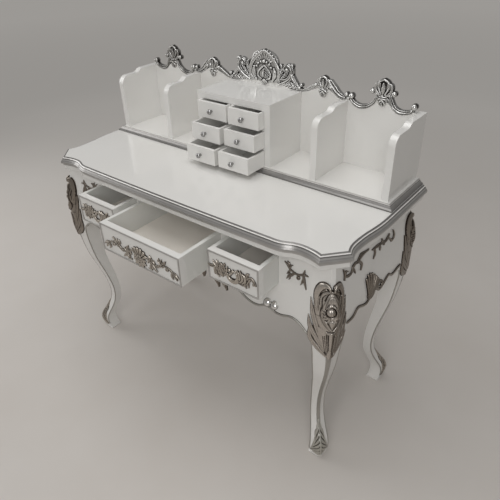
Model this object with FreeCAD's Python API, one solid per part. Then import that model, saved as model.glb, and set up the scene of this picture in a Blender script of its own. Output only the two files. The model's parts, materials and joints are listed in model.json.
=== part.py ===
import FreeCAD, Part
import math
import os

from FreeCAD import Vector

# A small lady's writing desk: cabriole legs, an apron with three drawers, a shaped top,
# and a gallery at the back with six small drawers under a carved cresting.
# Millimetres, +Z up, +X to the right of someone facing the desk, which opens towards -Y.
# While it is modelled the floor is z = 0, the middle is x = 0 and the back edge is y = 0.

# ---- desktop
desk_height = 780.0             # floor to the writing surface
desk_half_width = 553.0         # writing surface, without its edge moulding
desk_depth = 491.0              # writing surface, at the middle of the front
desktop_thickness = 28.0
side_waist_inset = 13.0         # how far the ends draw in behind the cut corners
side_waist_back = 101.0         # and where: measured back from the front
side_swell_back = 256.0
front_waist_in = 103.0          # the front draws in too: measured in from the end
front_waist_inset = 20.5
front_swell_in = 178.0
front_swell_inset = 3.0
cant_front_in = 48.0            # the cut corner, its front end
cant_front_inset = 11.0
cant_side_inset = 4.0           # and its other end, on the side
cant_side_back = 59.0
edge_bead_out = 5.0             # edge moulding: bead, ogee band, fillet and undercut
edge_bead_drop = 1.5
edge_neck_out = 8.0
edge_neck_drop = 5.0
edge_out = 15.0
edge_drop = 15.0
edge_fillet = 5.0
edge_under_out = 9.0
edge_under_drop = 24.0
top_frame_thickness = 14.0
top_frame_out = 7.0
top_frame_width = 92.0
top_frame_back_width = 60.0
glue_block = 40.0
glue_block_height = 60.0

# ---- legs
leg_end_inset = 3.0             # the knee's arris, in from the end of the writing surface
leg_front_inset = 11.0
leg_back_inset = 2.0
leg_block = 74.0                # square top of the leg
leg_block_height = 218.0
leg_batter = 18.0               # how far the knee stands out from the top of its block
leg_sweep = 52.5                # how far the ankle draws in under the knee
leg_band = 8.0                  # the arris is planed off this far along each face
knee_thickness = 7.0
knee_top_drop = 85.0            # from the writing surface to the top of the knee carving
knee_height = 231.0
knee_half_width = 51.0
foot_leaf_thickness = 3.5
foot_leaf_top = 122.0
foot_leaf_bottom = 18.0
foot_leaf_half_width = 17.0

# ---- apron
apron_inset = 36.0              # its flat face, behind the front of the writing surface
apron_thickness = 22.0
apron_lap = 24.0                # how far the blanks reach below the blocks of the legs
apron_swell = 19.0              # how far the front flares out under the drawers
side_apron_inset = 43.0         # inner face, in from the end of the writing surface
side_hollow = 5.0               # the side apron draws in this much behind its swell
side_pattern_forward = 14.0     # the side's ornament, in front of the middle of its apron
scallop = 20.0                  # height of the curves along the lower edges
ball_radius = 9.0
ball_spacing = 24.0
back_apron_height = 178.0
back_apron_inset = 20.0

# ---- apron drawers
top_rail_height = 31.0
drawer_height = 92.0
centre_drawer_share = 0.3424    # half its width, in the room from the middle to a leg
small_drawer_share = 0.3613
stile_width = 28.0              # from one drawer to the next, with its play
drawer_back_gap = 41.0          # behind a closed drawer
drawer_front_thickness = 20.0
drawer_side_thickness = 12.0
drawer_bottom_thickness = 6.0
drawer_bottom_rise = 6.0
drawer_play = 0.3               # under a drawer
drawer_side_play = 1.0
drawer_top_play = 1.0
runner_thickness = 18.0
runner_lap = 14.0               # how far a runner reaches under a drawer
bead_width = 4.0                # silvered moulding round each drawer front
bead_proud = 2.5
carving_thickness = 6.0
centre_open = 165.0             # how far each drawer stands open
left_open = 93.0
right_open = 85.0

# ---- gallery
base_thickness = 16.0
base_depth = 193.0
base_out_bottom = 15.0
base_out_top = 4.0
base_end_gap = 1.0              # from its moulding to the end of the writing surface
base_foot_height = 4.0          # lowest fillet of the base moulding
base_cove_height = 9.0
panel_thickness = 20.0
panel_end_gap = 7.0
panel_front_gap = 6.0
divider_share = 0.408           # place of each divider between the small drawers and the end
panel_height = 192.0
panel_drop = 11.0
panel_low_run = 69.0            # length of the low part of a panel's top
panel_step_run = 30.0
panel_nose_radius = 28.0
back_face = 24.0                # front face of the gallery's back board
back_thickness = 18.0

# ---- nest of small drawers
nest_front_gap = 4.0
nest_side = 20.0
nest_opening_half = 121.75
nest_row_height = 51.5
nest_shelf = 9.0
nest_partition = 9.0
nest_top = 20.5
nest_back_gap = 15.0
nest_front_thickness = 10.0
nest_wall = 6.0
nest_floor = 4.0
nest_side_play = 0.75
nest_play = 0.3
nest_top_play = 0.9
knob_radius = 8.0
knob_length = 17.0
knob_stem_radius = 4.0
nest_open = {
    "top_left": 24.0, "top_right": 28.0,
    "middle_left": 59.0, "middle_right": 51.0,
    "bottom_left": 88.0, "bottom_right": 83.0,
}

# ---- cresting
crest_thickness = 16.0
crest_lip = 3.0                 # how far it laps over the front of the back board
crest_band = 10.0
crest_ball_radius = 8.0
crest_height = 111.0            # the crown above the tops of the end panels
scallop_rise = 20.0             # the back board's edge above them, between its dips

# ---- worked out
moulding_bottom = desk_height - desktop_thickness
frame_bottom = moulding_bottom - top_frame_thickness
leg_block_bottom = frame_bottom - leg_block_height
knee_x = desk_half_width - leg_end_inset
knee_y = desk_depth - leg_front_inset
leg_plan_offset = knee_x - knee_y       # the arris runs on the line x - |y| = this
leg_mirror_y = (knee_y + leg_back_inset) / 2.0
side_pattern_y = leg_mirror_y + side_pattern_forward
leg_inner_x = knee_x - leg_block
leg_inner_y = knee_y - leg_block
rear_leg_inner_y = 2.0 * leg_mirror_y - leg_inner_y
knee_top = desk_height - knee_top_drop
knee_bottom = knee_top - knee_height
apron_front = desk_depth - apron_inset
apron_back = apron_front - apron_thickness
apron_low = leg_block_bottom - apron_lap
side_apron_inner_x = desk_half_width - side_apron_inset
back_apron_front = back_apron_inset + apron_thickness
drawer_bottom = frame_bottom - top_rail_height - drawer_top_play - drawer_height
drawer_depth = apron_front - back_apron_front - drawer_back_gap
opening_bottom = drawer_bottom - drawer_play
opening_top = drawer_bottom + drawer_height + drawer_top_play
centre_half_width = leg_inner_x * centre_drawer_share
small_width = leg_inner_x * small_drawer_share
small_inner_x = centre_half_width + stile_width
small_outer_x = small_inner_x + small_width
opening_outer_x = small_outer_x + drawer_side_play
gallery_z = desk_height + base_thickness
panel_top = gallery_z + panel_height
base_half_width = desk_half_width - base_out_bottom - base_end_gap
end_outer_x = base_half_width - panel_end_gap
end_inner_x = end_outer_x - panel_thickness
panel_front = base_depth - panel_front_gap
nest_front = base_depth - nest_front_gap
nest_depth = nest_front - back_face - nest_back_gap
nest_outer_x = nest_opening_half + nest_side
nest_height = 3.0 * nest_row_height + 2.0 * nest_shelf + nest_top
divider_x = nest_outer_x + (end_inner_x - nest_outer_x) * divider_share
front_reach = apron_front + centre_open + carving_thickness
origin_y = front_reach / 2.0

# The leg below its block: share of the height, of the sweep under the knee, of the block.
lower_leg = [
    (0.0, 0.40, 0.54), (0.038, 0.30, 0.57), (0.077, 0.23, 0.58), (0.127, 0.29, 0.55),
    (0.192, 0.59, 0.47), (0.269, 0.895, 0.42), (0.365, 1.0, 0.405), (0.475, 0.875, 0.44),
    (0.577, 0.65, 0.50), (0.692, 0.36, 0.60), (0.808, 0.17, 0.70), (0.904, 0.055, 0.785),
    (0.962, 0.0, 0.89), (1.0, 0.0, 1.0),
]
# The block's outer faces: share of its height, and of the batter.
knee_profile = [(0.0, 0.0), (0.183, 0.0), (0.459, 0.22), (0.78, 0.72), (1.0, 1.0)]


# ---------------------------------------------------------------- drawing helpers
def in_xy(u, v):
    return Vector(u, v, 0)


def in_xz(u, v):
    return Vector(u, 0, v)


def in_yz(u, v):
    return Vector(0, u, v)


class Outline:
    """A chain of lines and arcs in one plane; each arc leaves along the last heading."""

    def __init__(self, place, u, v):
        self.place = place
        self.unit_u = (place(1, 0) - place(0, 0)).Length
        self.unit_v = (place(0, 1) - place(0, 0)).Length
        self.here = (u, v)
        self.start = (u, v)
        self.heading = 0.0
        self.edges = []

    def step(self, u, v):
        """Length and direction to a point, in real lengths."""
        along = (u - self.here[0]) * self.unit_u
        up = (v - self.here[1]) * self.unit_v
        return math.hypot(along, up), math.atan2(up, along)

    def line(self, u, v):
        self.heading = self.step(u, v)[1]
        self.edges.append(Part.makeLine(self.place(*self.here), self.place(u, v)))
        self.here = (u, v)
        return self

    def arc(self, u, v, heading=None):
        if heading is not None:
            self.heading = math.radians(heading)
        a, b = self.here
        chord, direction = self.step(u, v)
        turn = direction - self.heading
        turn = math.atan2(math.sin(turn), math.cos(turn))
        reach = chord / (2.0 * math.cos(turn / 2.0))
        way = self.heading + turn / 2.0
        middle = (a + reach * math.cos(way) / self.unit_u, b + reach * math.sin(way) / self.unit_v)
        arc = Part.Arc(self.place(a, b), self.place(*middle), self.place(u, v))
        self.edges.append(arc.toShape())
        self.heading += 2.0 * turn
        self.here = (u, v)
        return self

    def bend(self, u, v, heading=None):
        """Two equal arcs to a point where the heading is again what it is here."""
        if heading is not None:
            self.heading = math.radians(heading)
        a, b = self.here
        kept = math.degrees(self.heading)
        self.arc((a + u) / 2.0, (b + v) / 2.0)
        self.arc(u, v)
        self.heading = math.radians(kept)
        return self

    def wire(self, closed=True):
        if closed and math.hypot(self.here[0] - self.start[0], self.here[1] - self.start[1]) > 1e-6:
            self.line(*self.start)
        return Part.Wire(self.edges)


def box(x0, x1, y0, y1, z0, z1):
    return Part.makeBox(x1 - x0, y1 - y0, z1 - z0, Vector(x0, y0, z0))


def slab(wire, direction):
    return Part.Face(wire).extrude(direction)


def ring(points):
    return Part.makePolygon(points + [points[0]])


def spline(points):
    curve = Part.BSplineCurve()
    curve.interpolate(points)
    return curve.toShape()


def side_step(place, before, after, point, reach):
    """The two points at real distances either side of a line, square to its run."""
    along = place(*after) - place(*before)
    square = Vector(along.z, 0, -along.x) if abs(along.y) < 1e-9 else Vector(0, -along.z, along.y)
    square.normalize()
    return place(*point) - square * reach, place(*point) + square * reach


def ribbon(place, points, widths):
    """A band of changing width along a smooth line."""
    left = []
    right = []
    for i, point in enumerate(points):
        before = points[max(i - 1, 0)]
        after = points[min(i + 1, len(points) - 1)]
        one, other = side_step(place, before, after, point, widths[i] / 2.0)
        left.append(one)
        right.append(other)
    ends = [Part.makeLine(left[-1], right[-1]), Part.makeLine(right[0], left[0])]
    return Part.Wire([spline(left), ends[0], spline(right[::-1]), ends[1]])


def leaf(place, base, tip, width):
    """A pointed oval from base to tip."""
    middle = ((base[0] + tip[0]) / 2.0, (base[1] + tip[1]) / 2.0)
    one, other = side_step(place, base, tip, middle, width / 2.0)
    first = Part.Arc(place(*base), one, place(*tip)).toShape()
    second = Part.Arc(place(*tip), other, place(*base)).toShape()
    return Part.Wire([first, second])


def twin(half):
    """Close a half outline that starts and ends on x = 0 with its own reflection."""
    mirrored = [mirror_x(edge) for edge in half.edges]
    return Part.Wire(Part.__sortEdges__(half.edges + mirrored))


def disc(centre, radius):
    """A circle in the plane of the back board."""
    return Part.Wire(Part.makeCircle(radius, centre, Vector(0, -1, 0)))


def across(wires, start, depth, axis):
    """Extrude flat outlines from a plane and join them into one piece."""
    solids = [slab(wire, axis * depth) for wire in wires]
    for solid in solids:
        solid.translate(axis * start)
    whole = solids[0]
    if len(solids) > 1:
        whole = whole.fuse(solids[1:])
    return whole.removeSplitter()


def mirror_x(shape):
    return shape.mirror(Vector(0, 0, 0), Vector(1, 0, 0))


def mirror_legs(shape):
    return shape.mirror(Vector(0, -leg_mirror_y, 0), Vector(0, 1, 0))


def moved(shape, x=0.0, y=0.0, z=0.0):
    other = shape.copy()
    other.translate(Vector(x, y, z))
    return other


def export(name, solids):
    """Write one node, moved so that its origin is under the middle of the whole desk."""
    if not isinstance(solids, list):
        solids = [solids]
    pieces = []
    for solid in solids:
        pieces.extend(solid.Solids)
    shape = pieces[0] if len(pieces) == 1 else Part.makeCompound(pieces)
    shape = moved(shape, y=origin_y)
    if not shape.isValid():
        print("not valid:", name)
    shape.exportStep(os.path.join("parts", name + ".step"))


# ---------------------------------------------------------------- desktop
def top_outline(z):
    """The serpentine outline of the writing surface."""
    side = desk_half_width
    cant = (side - cant_front_in, -(desk_depth - cant_front_inset))
    waist = (side - front_waist_in, -(desk_depth - front_waist_inset))
    front_swell_x = side - front_swell_in
    swell_y = -(desk_depth - front_swell_inset)

    def right_half():
        edges = Outline(in_xy, side, 0.0)
        edges.line(side, -(desk_depth - side_swell_back))
        edges.bend(side - side_waist_inset, -(desk_depth - side_waist_back))
        edges.arc(side - cant_side_inset, -(desk_depth - cant_side_back))
        edges.line(*cant)
        middle = Outline(in_xy, *waist)
        middle.arc(*cant, heading=0.0)
        front = Outline(in_xy, *waist)
        front.heading = math.pi
        front.bend(front_swell_x, swell_y)
        return edges.edges + middle.edges + front.edges

    right = right_half()
    left = [mirror_x(edge) for edge in right]
    front_arc = Part.Arc(in_xy(front_swell_x, swell_y), in_xy(0, -desk_depth), in_xy(-front_swell_x, swell_y))
    back = Part.makeLine(in_xy(-side, 0), in_xy(side, 0))
    wire = Part.Wire(Part.__sortEdges__(right + left + [front_arc.toShape(), back]))
    wire.translate(Vector(0, 0, z))
    return wire


def grown_outline(out, z):
    wire = top_outline(0.0)
    if out:
        wire = wire.makeOffset2D(out, 1)
    wire.translate(Vector(0, 0, z))
    return wire


def trim_back(shape):
    """The mouldings are cut off square at the back."""
    reach = 2.0 * desk_half_width
    return shape.cut(box(-reach, reach, 0.0, reach, 0.0, 2.0 * desk_height))


def desktop():
    return slab(top_outline(moulding_bottom), Vector(0, 0, desktop_thickness))


def desktop_edge_moulding():
    levels = [
        (0.01, 0.0), (edge_bead_out, edge_bead_drop), (edge_neck_out, edge_neck_drop),
        (edge_out, edge_drop), (edge_out, edge_drop + edge_fillet),
        (edge_under_out, edge_under_drop), (edge_under_out, desktop_thickness),
    ]
    wires = [grown_outline(out, desk_height - drop) for out, drop in levels]
    body = Part.makeLoft(wires[::-1], True, True)
    return trim_back(body.cut(desktop()))


def top_frame():
    """Front, back and side strips under the top, following its outline outside."""
    outer = trim_back(slab(grown_outline(top_frame_out, frame_bottom), Vector(0, 0, top_frame_thickness)))
    reach = 2.0 * desk_half_width
    opening_front = -(desk_depth - top_frame_width)
    front = outer.common(box(-reach, reach, -reach, opening_front, 0.0, desk_height))
    back = outer.common(box(-reach, reach, -top_frame_back_width, reach, 0.0, desk_height))
    side = outer.common(box(desk_half_width - top_frame_width, reach, opening_front,
                            -top_frame_back_width, 0.0, desk_height))
    return [front, back, side, mirror_x(side)]


def glue_blocks():
    """A block behind each end of the front and back aprons, against the leg."""
    low = frame_bottom - glue_block_height
    inner = leg_inner_x - glue_block
    front = box(inner, leg_inner_x, -apron_back, -leg_inner_y, low, frame_bottom)
    back = box(inner, leg_inner_x, -rear_leg_inner_y, -back_apron_front, low, frame_bottom)
    return [front, back, mirror_x(front), mirror_x(back)]


# ---------------------------------------------------------------- legs and knee carvings
def leg_section(z, arris, side, grow=0.0):
    outer_x = arris + grow
    outer_y = arris - leg_plan_offset + grow
    inner_x = arris - side
    inner_y = inner_x - leg_plan_offset
    return ring([
        Vector(outer_x - leg_band, -outer_y, z),
        Vector(outer_x, -(outer_y - leg_band), z),
        Vector(outer_x, -inner_y, z),
        Vector(inner_x, -inner_y, z),
        Vector(inner_x, -outer_y, z),
    ])


def block_faces():
    """Level and arris of the leg's top block, from its foot to the frame."""
    return [(leg_block_bottom + leg_block_height * share, knee_x - leg_batter * back)
            for share, back in knee_profile]


def leg(grow=0.0):
    """Front right leg: a cabriole lofted from the foot to the knee, and its top block."""
    lower = [leg_section(leg_block_bottom * share, knee_x - leg_sweep * sweep, leg_block * side, grow)
             for share, sweep, side in lower_leg]
    upper = [leg_section(z, arris, arris - leg_inner_x, grow) for z, arris in block_faces()]
    return Part.makeLoft(lower, True, False).fuse(Part.makeLoft(upper, True, False))


def diagonal_mask(levels):
    """A blade seen square on to the arris: half widths at levels, mirrored about the arris."""
    across_way = Vector(1, 1, 0).normalize()
    outward = Vector(1, -1, 0).normalize()
    foot = Vector(leg_inner_x, -leg_inner_y, 0)
    right = [foot + across_way * half + Vector(0, 0, z) for z, half in levels]
    left = [foot - across_way * half + Vector(0, 0, z) for z, half in levels[::-1]]
    top = Part.makeLine(right[-1], left[0])
    bottom = Part.makeLine(left[-1], right[0])
    wire = Part.Wire([spline(right), top, spline(left), bottom])
    return slab(wire, outward * 2.0 * leg_inner_x)


def knee_carving(own_leg):
    """Shield on the knee, with a notch between two lobes at its top."""
    shares = [(0.0, 0.04), (0.06, 0.36), (0.12, 0.68), (0.2, 0.9), (0.4, 1.0),
              (0.66, 0.97), (0.85, 0.86), (0.95, 0.7), (1.0, 0.5)]
    levels = [(knee_bottom + knee_height * z, knee_half_width * w) for z, w in shares]
    notch = Part.makeCylinder(knee_half_width * 0.16, 4.0 * knee_half_width,
                              Vector(leg_inner_x, -leg_inner_y, knee_top), Vector(1, -1, 0))
    return leg(knee_thickness).common(diagonal_mask(levels)).cut(own_leg).cut(notch)


def foot_leaf(own_leg):
    tall = foot_leaf_top - foot_leaf_bottom
    shares = [(0.0, 0.35), (0.2, 0.9), (0.45, 1.0), (0.75, 0.55), (1.0, 0.06)]
    levels = [(foot_leaf_bottom + tall * z, foot_leaf_half_width * w) for z, w in shares]
    return leg(foot_leaf_thickness).common(diagonal_mask(levels)).cut(own_leg)


def four(shape):
    rear = trim_back(mirror_legs(shape))
    return [shape, mirror_x(shape), rear, mirror_x(rear)]


# ---------------------------------------------------------------- apron
def drawer_band_profile():
    """Face of the apron at the drawers: flat, then flaring below them."""
    rise = opening_bottom - leg_block_bottom
    shares = [(0.43, 0.63), (1.0, 0.0)]
    low = [(apron_low, apron_front + apron_swell * 0.9), (leg_block_bottom, apron_front + apron_swell)]
    return low + [(leg_block_bottom + rise * up, apron_front + apron_swell * out) for up, out in shares]


def section_yz(x, profile, inner, straight_top=None):
    """Closed section: the face as a curve, then up, back and down the inner side."""
    points = [Vector(x, -y, z) for z, y in profile]
    edges = [spline(points)]
    top = points[-1]
    if straight_top is not None:
        edges.append(Part.makeLine(top, Vector(x, top.y, straight_top)))
        top = Vector(x, top.y, straight_top)
    edges.append(Part.makeLine(top, Vector(x, -inner, top.z)))
    edges.append(Part.makeLine(Vector(x, -inner, top.z), Vector(x, -inner, points[0].z)))
    edges.append(Part.makeLine(Vector(x, -inner, points[0].z), points[0]))
    return Part.Wire(edges)


def front_edge_half():
    """Lower edge of the front apron, from the leg to the middle."""
    def at(share, rise):
        return leg_inner_x * share, leg_block_bottom + scallop * rise

    edge = Outline(in_xz, *at(1.0, -0.6))
    edge.arc(*at(0.9, 1.0), heading=118.0)
    edge.bend(*at(0.79, 0.35), heading=180.0)
    edge.line(*at(0.755, 0.35))
    edge.line(*at(0.74, 0.75))
    edge.line(*at(0.69, 0.75))
    edge.arc(*at(0.6, 0.15), heading=222.0)
    edge.arc(*at(0.51, 1.0))
    edge.arc(*at(0.42, 1.6), heading=150.0)
    edge.arc(*at(0.126, 2.0), heading=160.0)
    edge.line(*at(0.0, 1.4))
    return edge.edges


def front_edge_cutter():
    right = front_edge_half()
    left = [mirror_x(edge) for edge in right]
    low = in_xz(leg_inner_x, apron_low - scallop)
    low_left = in_xz(-leg_inner_x, apron_low - scallop)
    end = right[0].Vertexes[0].Point
    end_left = Vector(-end.x, end.y, end.z)
    rest = [Part.makeLine(end, low), Part.makeLine(low, low_left), Part.makeLine(low_left, end_left)]
    wire = Part.Wire(Part.__sortEdges__(right + left + rest))
    cutter = slab(wire, Vector(0, -desk_depth, 0))
    return moved(cutter, y=-apron_back + apron_thickness)


def apron_shoulder():
    """Right end of the front apron, which swells from the drawers out to the knee."""
    flat = drawer_band_profile()
    near = section_yz(opening_outer_x, flat, apron_back, frame_bottom)
    knee = [(apron_low, knee_y)] + [(z, arris - leg_plan_offset) for z, arris in block_faces()]
    points = [Vector(leg_inner_x, -y, z) for z, y in knee]
    inner_low = Vector(leg_inner_x, -apron_back, apron_low)
    inner_top = Vector(leg_inner_x, -apron_back, frame_bottom)
    level = Vector(leg_inner_x, points[-2].y, points[-2].z)
    far = Part.Wire([
        spline(points[:-1]), Part.makeLine(level, points[-1]), Part.makeLine(points[-1], inner_top),
        Part.makeLine(inner_top, inner_low), Part.makeLine(inner_low, points[0]),
    ])
    body = Part.makeLoft([near, far], True, True)
    return body.cut(front_edge_cutter())


def front_lower_apron():
    section = section_yz(-opening_outer_x, drawer_band_profile(), apron_back)
    body = slab(section, Vector(2.0 * opening_outer_x, 0, 0))
    return body.cut(front_edge_cutter())


def front_top_rail():
    return box(-opening_outer_x, opening_outer_x, -apron_front, -apron_back, opening_top, frame_bottom)


def drawer_stiles():
    inner = centre_half_width + drawer_side_play
    outer = small_inner_x - drawer_side_play
    stile = box(inner, outer, -apron_front, -apron_back, opening_bottom, opening_top)
    return [stile, mirror_x(stile)]


def side_apron():
    """Right end of the carcass: flat above, swelling below, with a shaped lower edge."""
    def section(y, profile):
        points = [Vector(x, -y, z) for z, x in profile]
        top = Vector(side_apron_inner_x, -y, points[-1].z)
        low = Vector(side_apron_inner_x, -y, points[0].z)
        edges = [spline(points), Part.makeLine(points[-1], top), Part.makeLine(top, low)]
        return Part.Wire(edges + [Part.makeLine(low, points[0])])

    at_leg = [(apron_low, knee_x)] + block_faces()
    hollow = [0.0, 0.0, 0.2, 1.0, 0.2, 0.0]
    between = [(z, x - side_hollow * share) for (z, x), share in zip(at_leg, hollow)]
    wires = [section(leg_inner_y, at_leg), section(leg_mirror_y, between), section(rear_leg_inner_y, at_leg)]
    body = Part.makeLoft(wires, True, False)
    return body.cut(side_edge_cutter())


def side_edge_cutter():
    """Everything below the lower edge: a curve, a cusp and an ogee on each side of the shell."""
    half = leg_inner_y - leg_mirror_y
    edge = Outline(in_yz, -leg_inner_y, leg_block_bottom + scallop * 0.9)

    def at(share, rise):
        return -side_pattern_y - half * share, leg_block_bottom + scallop * rise

    edge.arc(*at(0.66, 0.9), heading=-25.0)
    edge.line(*at(0.6, 1.5))
    edge.bend(*at(0.26, 0.5), heading=-8.0)
    edge.arc(*at(0.12, 1.5))
    edge.line(-side_pattern_y, edge.here[1])
    front = edge.edges
    back = [shape.mirror(in_xy(0, -side_pattern_y), Vector(0, 1, 0)) for shape in front]
    end = in_yz(*edge.start)
    far = Vector(0, -2.0 * side_pattern_y - end.y, end.z)
    low = Vector(0, end.y, apron_low - scallop)
    far_low = Vector(0, far.y, low.z)
    rest = [Part.makeLine(end, low), Part.makeLine(low, far_low), Part.makeLine(far_low, far)]
    wire = Part.Wire(Part.__sortEdges__(front + back + rest))
    cutter = slab(wire, Vector(2.0 * desk_half_width, 0, 0))
    behind = box(0, 2.0 * desk_half_width, far.y, 0, apron_low - scallop, end.z)
    return cutter.fuse(behind)


def back_apron():
    bottom = frame_bottom - back_apron_height
    return box(-leg_inner_x, leg_inner_x, -back_apron_front, -back_apron_inset, bottom, frame_bottom)


def runner_spans():
    """Where the runners, guides and kickers stand: between drawers and outside the last."""
    between = (centre_half_width + drawer_side_play, small_inner_x - drawer_side_play)
    outside = (opening_outer_x, opening_outer_x + runner_lap)
    return [
        (between[0] - runner_lap, between[1] + runner_lap, between[0], between[1]),
        (outside[0] - runner_lap, outside[1], outside[0], outside[1]),
    ]


def drawer_runners():
    """Each runner is one strip with a guide standing on it, let in from front to back."""
    solids = []
    low = opening_bottom - runner_thickness
    high = opening_bottom + runner_thickness
    for x0, x1, guide0, guide1 in runner_spans():
        strip = box(x0, x1, -apron_back, -back_apron_front, low, opening_bottom)
        guide = box(guide0, guide1, -apron_back, -back_apron_front, opening_bottom, high)
        runner = strip.fuse(guide).removeSplitter()
        solids += [runner, mirror_x(runner)]
    return solids


def drawer_kickers():
    solids = []
    for x0, x1, _, _ in runner_spans():
        kicker = box(x0, x1, -apron_back, -back_apron_front, opening_top, frame_bottom)
        solids += [kicker, mirror_x(kicker)]
    return solids


# ---------------------------------------------------------------- carvings on the carcass
def drawn(place, origin, unit_u, unit_v):
    """A plane whose points are given in hundredths of two real lengths."""
    def put(u, v):
        return place(origin[0] + u * unit_u / 100.0, origin[1] + v * unit_v / 100.0)

    return put


def side_carvings(own_apron):
    """A trailing spray under the top and a shell at the lower edge, planted on the side apron."""
    half = leg_inner_y - leg_mirror_y
    frieze = drawn(in_yz, (-side_pattern_y, leg_block_bottom), half, leg_block_height)
    vine = [(-86.0, 80.0), (-56.0, 75.0), (-24.0, 81.0), (24.0, 81.0), (56.0, 75.0), (86.0, 80.0)]
    spray = [ribbon(frieze, vine, [3.0, 5.0, 8.0, 8.0, 5.0, 3.0])]
    for way in (-1.0, 1.0):
        spray.append(leaf(frieze, (way * 12.0, 81.5), (way * 38.0, 66.0), 8.5))
        spray.append(leaf(frieze, (way * 32.0, 79.5), (way * 61.0, 87.0), 8.0))
        spray.append(leaf(frieze, (way * 60.0, 77.0), (way * 88.0, 69.0), 6.5))
        spray.append(leaf(frieze, (way * 79.0, 78.0), (way * 89.0, 86.0), 5.5))
    shell = [fan(frieze, (0.0, 8.0), (29.0, 43.0), 5, lean=-0.5)]
    start = side_apron_inner_x + apron_thickness / 2.0
    sprig = across(spray, start, knee_x - leg_batter * 0.7 + carving_thickness - start, Vector(1, 0, 0))
    boss = across(shell, start, knee_x + carving_thickness / 2.0 - start, Vector(1, 0, 0))
    keep = box(side_apron_inner_x + apron_thickness, 2 * desk_half_width, -desk_depth, 0, 0, desk_height)
    return [sprig.cut(own_apron).common(keep), boss.cut(own_apron).common(keep)]


def fan(place, foot, size, lobes, lean=0.0):
    """A scallop shell: a narrow foot, straight sides and a lobed edge, which may lean over."""
    wide, tall = size

    def put(along, up):
        return place(foot[0] + wide * (along + lean * up), foot[1] + tall * up)

    def rim(angle, reach):
        return put(1.15 * reach * math.cos(angle), 0.35 + 0.6 * reach * math.sin(angle))

    angles = [math.radians(150.0 - 120.0 * i / lobes) for i in range(lobes + 1)]
    edges = [Part.makeLine(put(-0.25, 0.0), rim(angles[0], 1.0))]
    for before, after in zip(angles, angles[1:]):
        crown = rim((before + after) / 2.0, 1.12)
        edges.append(Part.Arc(rim(before, 1.0), crown, rim(after, 1.0)).toShape())
    edges.append(Part.makeLine(rim(angles[-1], 1.0), put(0.25, 0.0)))
    edges.append(Part.makeLine(put(0.25, 0.0), put(-0.25, 0.0)))
    return Part.Wire(edges)


def front_sprays(own_shoulder):
    """Sprig on the swelling end of the front apron, beside the knee."""
    face = drawn(in_xz, (opening_outer_x, leg_block_bottom), leg_inner_x - opening_outer_x, leg_block_height)
    vine = [(14.0, 79.0), (26.0, 74.0), (40.0, 68.0), (56.0, 66.0), (72.0, 62.0), (84.0, 56.0)]
    wires = [ribbon(face, vine, [4.0, 6.0, 8.0, 8.0, 6.0, 3.0])]
    wires.append(leaf(face, (30.0, 72.0), (16.0, 60.0), 5.0))
    wires.append(leaf(face, (30.0, 72.0), (36.0, 82.0), 5.0))
    wires.append(leaf(face, (66.0, 64.0), (76.0, 76.0), 5.0))
    plate = across(wires, -apron_front - apron_swell, apron_swell + 2.0, Vector(0, 1, 0))
    return plate.cut(own_shoulder)


def apron_balls(own_apron, own_shoulder):
    """Two half-round balls on the edge of the apron, under the outer end of the drawer."""
    level = leg_block_bottom + scallop * 1.5
    balls = []
    for share in (-1.0, 0.0):
        place = Vector(small_outer_x + ball_spacing * share, -(apron_front + apron_swell * 0.85), level)
        ball = Part.makeSphere(ball_radius, place, Vector(0, -1, 0))
        balls.append(ball.cut(own_apron.fuse(own_shoulder)))
    return balls


def centre_ornament(own_apron):
    """Cartouche under the centre drawer, between two long leaves."""
    band = opening_bottom - leg_block_bottom
    face = drawn(in_xz, (0.0, leg_block_bottom), centre_half_width, band)
    drop = Outline(face, 0.0, 13.0)
    drop.arc(20.0, 51.0, heading=20.0)
    drop.arc(0.0, 88.0, heading=100.0)
    wires = [twin(drop)]
    for way in (-1.0, 1.0):
        wires.append(leaf(face, (way * 12.0, 55.0), (way * 58.0, 72.0), 14.0))
        wires.append(leaf(face, (way * 15.0, 46.0), (way * 98.0, 54.0), 9.0))
    depth = apron_swell + carving_thickness
    plate = across(wires, -apron_front - depth, depth + 2.0, Vector(0, 1, 0))
    return plate.cut(own_apron)


# ---------------------------------------------------------------- apron drawers
def tray(x0, x1, front, depth, z0, z1, front_thickness, wall, floor, rise):
    """Sides, back and bottom of a drawer, each a board of its own, behind its front."""
    y0 = -front + front_thickness
    y1 = -front + depth
    left = box(x0, x0 + wall, y0, y1, z0, z1)
    right = box(x1 - wall, x1, y0, y1, z0, z1)
    back = box(x0 + wall, x1 - wall, y1 - wall, y1, z0, z1)
    bottom = box(x0 + wall, x1 - wall, y0, y1 - wall, z0 + rise, z0 + rise + floor)
    return [left, right, back, bottom]


def apron_drawer(name, x0, x1, opened, carving):
    front = apron_front + opened
    z0 = drawer_bottom
    z1 = drawer_bottom + drawer_height
    board = box(x0, x1, -front, -front + drawer_front_thickness, z0, z1)
    export(name + "_drawer_front", board)
    export(name + "_drawer_tray", tray(x0, x1, front, drawer_depth, z0, z1, drawer_front_thickness,
                                       drawer_side_thickness, drawer_bottom_thickness, drawer_bottom_rise))
    export(name + "_drawer_moulding", [moved(strip, y=-front) for strip in front_beading(x0, x1, z0, z1)])
    export(name + "_drawer_carving", moved(carving, y=-front))


def front_beading(x0, x1, z0, z1):
    """Four mitred strips planted round the edge of a drawer front."""
    corners = [(x0, z0), (x1, z0), (x1, z1), (x0, z1)]
    inset = [(bead_width, bead_width), (-bead_width, bead_width),
             (-bead_width, -bead_width), (bead_width, -bead_width)]
    inner = [(x + dx, z + dz) for (x, z), (dx, dz) in zip(corners, inset)]
    strips = []
    for i in range(4):
        j = (i + 1) % 4
        wire = ring([in_xz(*corners[i]), in_xz(*corners[j]), in_xz(*inner[j]), in_xz(*inner[i])])
        strips.append(slab(wire, Vector(0, -bead_proud, 0)))
    return strips


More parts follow.
